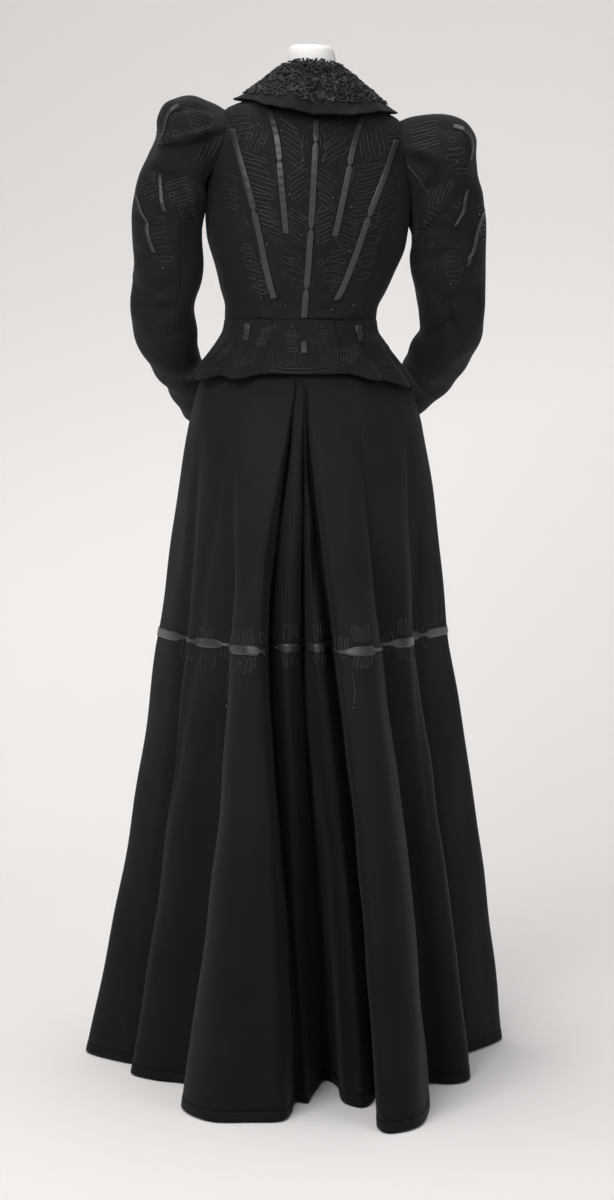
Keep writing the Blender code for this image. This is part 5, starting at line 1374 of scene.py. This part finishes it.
INNER_RIBBON = [Trace(1.150, 0.0330), Trace(1.230, 0.0455), Trace(1.265, 0.0500), Trace(1.322, 0.0640)]
OUTER_RIBBON = [Trace(1.056, 0.0400), Trace(1.080, 0.0490), Trace(1.157, 0.0720), Trace(1.190, 0.0815),
                Trace(1.240, 0.0975), Trace(1.286, 0.1120)]
BackStrip = namedtuple("BackStrip", "name trace first last knots length")
BACK_STRIPS = [
    BackStrip("centre", None, 1.037, 1.306, [0.15, 0.45, 0.88], 0.27),
    BackStrip("outer", OUTER_RIBBON, 1.062, 1.286, [0.52], 0.25),
    BackStrip("inner", INNER_RIBBON, 1.150, 1.3155, [0.58], 0.18),
]
STRIP_ROWS = 110
knot_spots = []
for strip in BACK_STRIPS:
    for side, sign in SIDES.items():
        if strip.trace is None and side == "right":
            continue
        height = np.linspace(strip.first, strip.last, STRIP_ROWS)[None, :]
        share = (height - strip.first) / (strip.last - strip.first)
        u = np.linspace(-1, 1, 7)[:, None]
        distance = 0.0
        if strip.trace:
            distance = along(height, column(strip.trace, "height"), column(strip.trace, "distance"))
        place = distance + strip_half(share, strip.knots) * u
        deg = degrees_at("torso", np.abs(place), height + 0 * u)
        deg = np.where(place < 0, 180 - deg, deg)
        points = section_point("torso", mirrored(side, deg), height + 0 * u)
        points, normals = jacket_finish(points, -sign, RIBBON_LIFT + RIBBON_WALL)
        suffix = "" if strip.trace is None else "_" + side
        ribbon("back_ribbon_" + strip.name + suffix, points, normals, -sign,
               "ribbon_back_" + strip.name + suffix)
        for knot in strip.knots:
            at = int(round(knot * (STRIP_ROWS - 1)))
            knot_spots.append((points[:, at], normals[:, at]))
height = np.linspace(0.9880, 1.0040, 16)[None, :]
place = RIBBON_WIDTH / 2 * np.linspace(-1, 1, 7)[:, None]
deg = degrees_at("peplum", np.abs(place) + 0 * height, height + 0 * place)
points = section_point("peplum", np.where(place > 0, deg, 180 - deg), height + 0 * place)
points, normals = peplum_finish(points, -1, TAB_LIFT + RIBBON_LIFT + RIBBON_WALL)
ribbon("tab_ribbon", points, normals, -1, "ribbon_peplum_centre")
for side, sign in SIDES.items():
    v = np.linspace(0.07, 0.37, 16)[None, :]
    height = PEPLUM_TOP + (PEPLUM_BACK_BOTTOM - PEPLUM_TOP) * v
    place = 0.076 + RIBBON_WIDTH / 2 * np.linspace(-1, 1, 7)[:, None]
    points = peplum_points(side, degrees_at("peplum", place + 0 * height, height + 0 * place), v)
    points, normals = peplum_finish(points, sign, 2 * RIBBON_LIFT + RIBBON_WALL)
    ribbon("peplum_ribbon_" + side, points, normals, sign, "ribbon_peplum_" + side)
SleeveStrip = namedtuple("SleeveStrip", "name first_phase last_phase first_row last_row length")
SLEEVE_STRIPS = [
    SleeveStrip("cap", 40, 52, 2.6, 4.6, 0.061),
    SleeveStrip("back", 62, 84, 6.2, 7.6, 0.051),
    SleeveStrip("outer", 30, 66, 7.7, 9.3, 0.083),
]
for side, sign in SIDES.items():
    for strip in SLEEVE_STRIPS:
        row = np.linspace(strip.first_row, strip.last_row, 40)[None, :]
        share = (row - strip.first_row) / (strip.last_row - strip.first_row)
        phase = strip.first_phase + (strip.last_phase - strip.first_phase) * share
        phase = phase + np.linspace(-1, 1, 7)[:, None] * 3.6
        points, normals = sleeve_finish(sleeve_points(side, phase, row + 0 * phase), -sign,
                                        0.0010 + RIBBON_WALL)
        name = "%s_%s" % (strip.name, side)
        ribbon("sleeve_strip_" + name, points, normals, -sign, "ribbon_sleeve_" + name)
        for at in (0, -1):
            knot_spots.append((points[:, at], normals[:, at]))

# The knee ribbon shows in short lengths on the folds and narrows to knots between them.
KNEE_SHOWN = [(161, 176), (198, 216), (234, 256), (281, 296), (310, 328), (352, 372), (397, 417), (430, 447)]
points, normals = skirt_cloth(AROUND, np.linspace(0.5930, 0.6050, 5), lift=SEAM_GAP + RIBBON_WALL, wraps=True)
across, down = in_view(points[:, 2])
width = np.full(len(across), 0.35)
for first, last in KNEE_SHOWN:
    width = np.maximum(width, np.clip(1.35 - np.maximum(first - across, across - last) / 4, 0.35, 1.0))
hidden = points[:, 2, 1] < 0
width = np.where(hidden, np.where(np.arange(len(across)) % 9 < 6, 1.0, 0.5), width)
middle_height = points[:, 2:3, 2]
points[:, :, 2] = middle_height + (points[:, :, 2] - middle_height) * width[:, None]
ribbon("knee_ribbon", points, normals, 1, "skirt_knee_ribbon",
       wraps=True)

# Braid
# Narrow black soutache braid sewn down by hand in long narrow loops that fill the spaces between the
# ribbons, in slanting rows like a fishbone, with small rings and squared turns at the edges.
BRAID = surfaced("soutache", 60, (0.0105, 0.0105, 0.0102), (0.0185, 0.0182, 0.0174), 1100, 0.0004, 0.5, 0.5,
                 0.45)

tree_points = []
tree_faces = []
for shell_points, shell_quads in SHELLS:
    start = len(tree_points)
    tree_points += shell_points.tolist()
    tree_faces += (shell_quads + start).tolist()
CLOTH = BVHTree.FromPolygons(tree_points, tree_faces)


def on_cloth(across, down):
    """The place on the cloth that lies at a place of the back view, with the cloth's normal there."""
    local = np.array((across - VIEW_SIZE[0] / 2, VIEW_SIZE[1] / 2 - down, -VIEW_REACH))
    ray = Vector(VIEW_TURN @ local).normalized()
    place, normal = CLOTH.ray_cast(VIEW_FROM, ray)[:2]
    if place is None:
        return None
    if normal.dot(ray) > 0:
        normal = -normal
    return np.array(place), np.array(normal)


BRAID_SPACING = 1.5
BRAID_LIFT = 0.0004
BRAID_JUMP = 0.008


def laid(spots):
    """A path through places of the back view laid on the cloth, in lengths that don't leap over gaps."""
    spots = np.array(spots, float)
    spans = np.linalg.norm(np.diff(spots, axis=0), axis=1)
    run = np.concatenate(([0.0], np.cumsum(spans)))
    marks = np.linspace(0, run[-1], max(3, int(run[-1] / BRAID_SPACING)))
    lengths = []
    path = []
    for mark in marks:
        found = on_cloth(np.interp(mark, run, spots[:, 0]), np.interp(mark, run, spots[:, 1]))
        if found is None:
            continue
        if path and np.linalg.norm(found[0] - path[-1][0]) > BRAID_JUMP:
            lengths.append(path)
            path = []
        path.append(found)
    lengths.append(path)
    return [(np.array([p + n * BRAID_LIFT for p, n in part]), np.array([n for p, n in part]))
            for part in lengths if len(part) > 2]


# A field of loops: the line along which they are stacked, how far and which way each one reaches, and
# how many there are
Field = namedtuple("Field", "start end reach loops")
BACK_FIELDS = [
    Field((229, 117), (232, 141), (18, -3), 3),
    Field((243, 146), (262, 151), (10, -22), 3),
    Field((240, 151), (247, 186), (26, 8), 4),
    Field((250, 190), (257, 222), (20, 5), 4),
    Field((284, 120), (287, 160), (15, 10), 4),
    Field((291, 168), (295, 204), (13, -9), 4),
    Field((262, 206), (268, 238), (14, 6), 4),
    Field((290, 208), (294, 240), (13, 7), 4),
    Field((241, 243), (256, 292), (9, 2), 6),
    Field((284, 250), (290, 284), (13, 4), 3),
    Field((214, 172), (221, 206), (18, 4), 4),
    Field((326, 126), (328, 164), (15, -10), 4),
    Field((362, 159), (384, 152), (-4, -23), 3),
    Field((361, 167), (357, 196), (25, -6), 4),
    Field((356, 199), (352, 228), (21, -3), 4),
    Field((320, 168), (322, 204), (13, 9), 4),
    Field((318, 214), (320, 244), (14, -7), 4),
    Field((342, 216), (338, 247), (14, 5), 4),
    Field((331, 252), (326, 286), (13, -3), 4),
    Field((388, 134), (391, 154), (9, -1), 3),
    Field((387, 184), (378, 232), (11, -4), 5),
    Field((338, 262), (334, 296), (9, 1), 4),
    Field((262, 262), (271, 292), (-9, 3), 4),
    Field((366, 238), (356, 280), (10, -2), 4),
]
PEPLUM_FIELDS = [
    Field((270, 363), (301, 365), (0, -10), 6),
    Field((321, 364), (346, 359), (0, -10), 5),
    Field((287, 331), (288, 352), (9, 0), 5),
    Field((318, 331), (318, 350), (9, 0), 5),
    Field((204, 368), (229, 354), (5, -11), 6),
    Field((256, 347), (262, 329), (12, -3), 5),
    Field((233, 367), (254, 362), (4, -12), 5),
    Field((221, 352), (233, 334), (9, 2), 5),
    Field((350, 366), (362, 350), (-8, -7), 5),
    Field((372, 362), (399, 364), (5, -12), 6),
    Field((376, 346), (388, 334), (9, 5), 4),
]
SLEEVE_FIELDS = [
    Field((186, 108), (193, 131), (24, 8), 4),
    Field((196, 159), (212, 157), (8, -15), 2),
    Field((166, 183), (177, 206), (19, -6), 4),
    Field((141, 186), (140, 212), (13, -6), 4),
    Field((149, 219), (160, 263), (11, -2), 5),
    Field((152, 128), (156, 142), (12, 2), 2),
    Field((181, 206), (189, 222), (12, -3), 2),
    Field((415, 151), (412, 127), (21, -6), 4),
    Field((405, 161), (418, 180), (10, 12), 2),
    Field((424, 207), (447, 196), (6, -16), 3),
    Field((417, 229), (429, 206), (10, 5), 3),
    Field((449, 247), (449, 281), (9, 0), 4),
    Field((476, 206), (481, 240), (8, -2), 4),
    Field((448, 150), (456, 175), (11, -2), 3),
]
SKIRT_FIELDS = [
    Field((163, 631), (176, 632), (-1, -13), 3),
    Field((180, 655), (196, 660), (2, -13), 4),
    Field((200, 641), (214, 643), (-2, -14), 3),
    Field((201, 668), (216, 668), (1, -14), 3),
    Field((222, 655), (232, 655), (0, -16), 2),
    Field((236, 645), (254, 645), (-2, -14), 4),
    Field((236, 672), (254, 671), (2, -14), 4),
    Field((262, 646), (276, 644), (-2, -13), 3),
    Field((283, 640), (296, 638), (1, -13), 3),
    Field((283, 665), (296, 664), (-1, -12), 3),
    Field((312, 637), (327, 636), (0, -13), 3),
    Field((313, 662), (327, 661), (2, -12), 3),
    Field((333, 656), (348, 657), (0, -16), 3),
    Field((353, 640), (370, 640), (-2, -14), 4),
    Field((353, 667), (370, 667), (3, -13), 4),
    Field((376, 654), (392, 650), (0, -16), 3),
    Field((398, 633), (416, 631), (1, -14), 4),
    Field((398, 660), (415, 657), (-2, -13), 4),
    Field((420, 645), (430, 641), (0, -14), 2),
    Field((432, 619), (445, 616), (1, -12), 3),
]
rng = np.random.default_rng(11)


def looped(field):
    """The line of one field: out and back along its loops, with rounded turns and an uneven hand."""
    start = np.array(field.start, float)
    step = (np.array(field.end, float) - start) / (2 * field.loops - 1)
    reach = np.array(field.reach, float)
    turn = reach / np.linalg.norm(reach) * np.linalg.norm(step) * 0.8
    spots = []
    for i in range(2 * field.loops):
        foot = start + step * i + rng.uniform(-0.45, 0.45, 2)
        tip = foot + reach * rng.uniform(0.74, 1.12)
        bow = rng.uniform(-0.22, 0.22, 2)
        line = [foot, foot + reach * 0.3 + step * bow[0], foot + reach * 0.7 + step * bow[1], tip]
        outward = turn
        if i % 2:
            line = line[::-1]
            outward = -turn
        spots += line
        if i < 2 * field.loops - 1:
            end = line[-1]
            for over, out in ((0.12, 0.6), (0.5, 1.0), (0.88, 0.6)):
                spots.append(end + step * over + outward * out)
    return spots


def ring_of(across, down, size):
    """A small curl of braid of a little more than one turn."""
    angles = np.linspace(0, 2 * math.pi * 1.2, 14)
    return [(across + size * math.cos(a), down + size * math.sin(a)) for a in angles]


def sewn(name, fields, lines=(), rings=()):
    """One piece of braid work: its fields of loops, its single lines and its rings."""
    paths = []
    for line in [looped(field) for field in fields] + list(lines) + [ring_of(*ring) for ring in rings]:
        paths += laid(line)
    tubes(name, paths, 0.00075, 0.00045, BRAID, sides=5)


BACK_LINES = [
    [(303, 149), (303, 137), (307, 129), (313, 126), (320, 129), (325, 137), (325, 149)],
    [(306, 146), (307, 136), (313, 131), (320, 136), (321, 147)],
    [(279, 118), (290, 124), (300, 140), (304, 160)],
    [(349, 122), (338, 130), (328, 144), (323, 160)],
    [(297, 205), (300, 212), (304, 217), (310, 219)],
    [(322, 205), (318, 212), (314, 217), (309, 219)],
    [(254, 229), (247, 224), (243, 214)],
    [(367, 233), (375, 227), (379, 216)],
    [(338, 199), (346, 192), (352, 178), (354, 165)],
    [(288, 196), (280, 188), (276, 176), (274, 164)],
]
BACK_RINGS = [
    (236, 139, 3.2), (262, 141, 3.0), (304, 218, 2.6), (315, 219, 2.6), (279, 167, 2.4), (283, 171, 2.2),
    (348, 170, 2.4), (343, 167, 2.2), (250, 222, 2.6), (372, 226, 2.6), (292, 260, 2.8), (321, 262, 2.8),
    (304, 283, 2.4), (311, 285, 2.4), (252, 252, 2.4), (360, 262, 2.4),
]
sewn("jacket_braid", BACK_FIELDS, BACK_LINES, BACK_RINGS)
PEPLUM_LINES = [
    [(268, 370), (285, 372.5), (307, 373), (330, 370.5), (345, 364)],
    [(270, 366.5), (285, 368.5), (307, 369), (330, 367), (345, 360.5)],
    [(188, 373), (206, 371), (222, 369), (236, 374)],
    [(370, 372), (386, 371.5), (400, 366), (414, 381)],
    [(304, 352), (304, 342), (309, 338), (314, 342), (314, 352)],
]
PEPLUM_RINGS = [(249, 321, 3.0), (241, 334, 2.6), (357, 323, 3.0), (366, 338, 2.6)]
sewn("peplum_braid", PEPLUM_FIELDS, PEPLUM_LINES, PEPLUM_RINGS)
SLEEVE_RINGS = [(176, 134, 3.0), (152, 176, 2.6), (452, 140, 3.0), (457, 205, 3.0), (172, 198, 2.6),
                (432, 245, 2.4)]
sewn("sleeve_braid", SLEEVE_FIELDS, rings=SLEEVE_RINGS)
HANGING_THREADS = [[(228, 672), (227, 688), (228, 703)], [(352, 672), (355, 690), (354, 705)]]
sewn("skirt_braid", SKIRT_FIELDS, HANGING_THREADS)

# Knots and covered balls
# Each knot of a ribbon is bound across with braid. Small balls covered in silk are sewn on by hand
# between the ribbons, some on short ends of braid.
tubes("ribbon_knots", knot_spots, 0.0012, 0.0009, BRAID)
SILK = surfaced("covered_ball", 500, (0.018, 0.018, 0.018), (0.045, 0.044, 0.042), 1500, 0.0003, 0.4, 0.30)
BALL_RADIUS = 0.0019
BALL_LIFT = 0.0014
BALL_SPOTS = [
    (258.8, 125), (281.8, 131.3), (303, 160.8), (323.3, 160.8), (290, 194.3), (332.5, 198), (350.8, 206.8),
    (301.8, 235), (318.3, 242), (267, 244.3), (251.3, 260.8), (349.3, 250.8), (261.8, 297.5), (285.8, 305.8),
    (331.8, 309.5), (353, 305), (292.5, 327), (322, 327), (163.3, 268.3), (450.8, 283.8), (456.8, 161.8),
    (479.5, 232), (478.5, 213.8), (228, 706), (354, 708), (241, 664), (263, 654), (277, 648),
]
found = [on_cloth(*spot) for spot in BALL_SPOTS]
spots = [(place + normal * BALL_LIFT, BALL_RADIUS) for place, normal in filter(None, found)]
bpy.ops.mesh.primitive_uv_sphere_add(segments=16, ring_count=10, radius=1.0, location=(0, 0, 0))
copies("covered_balls", spots, SILK, smooth=True)
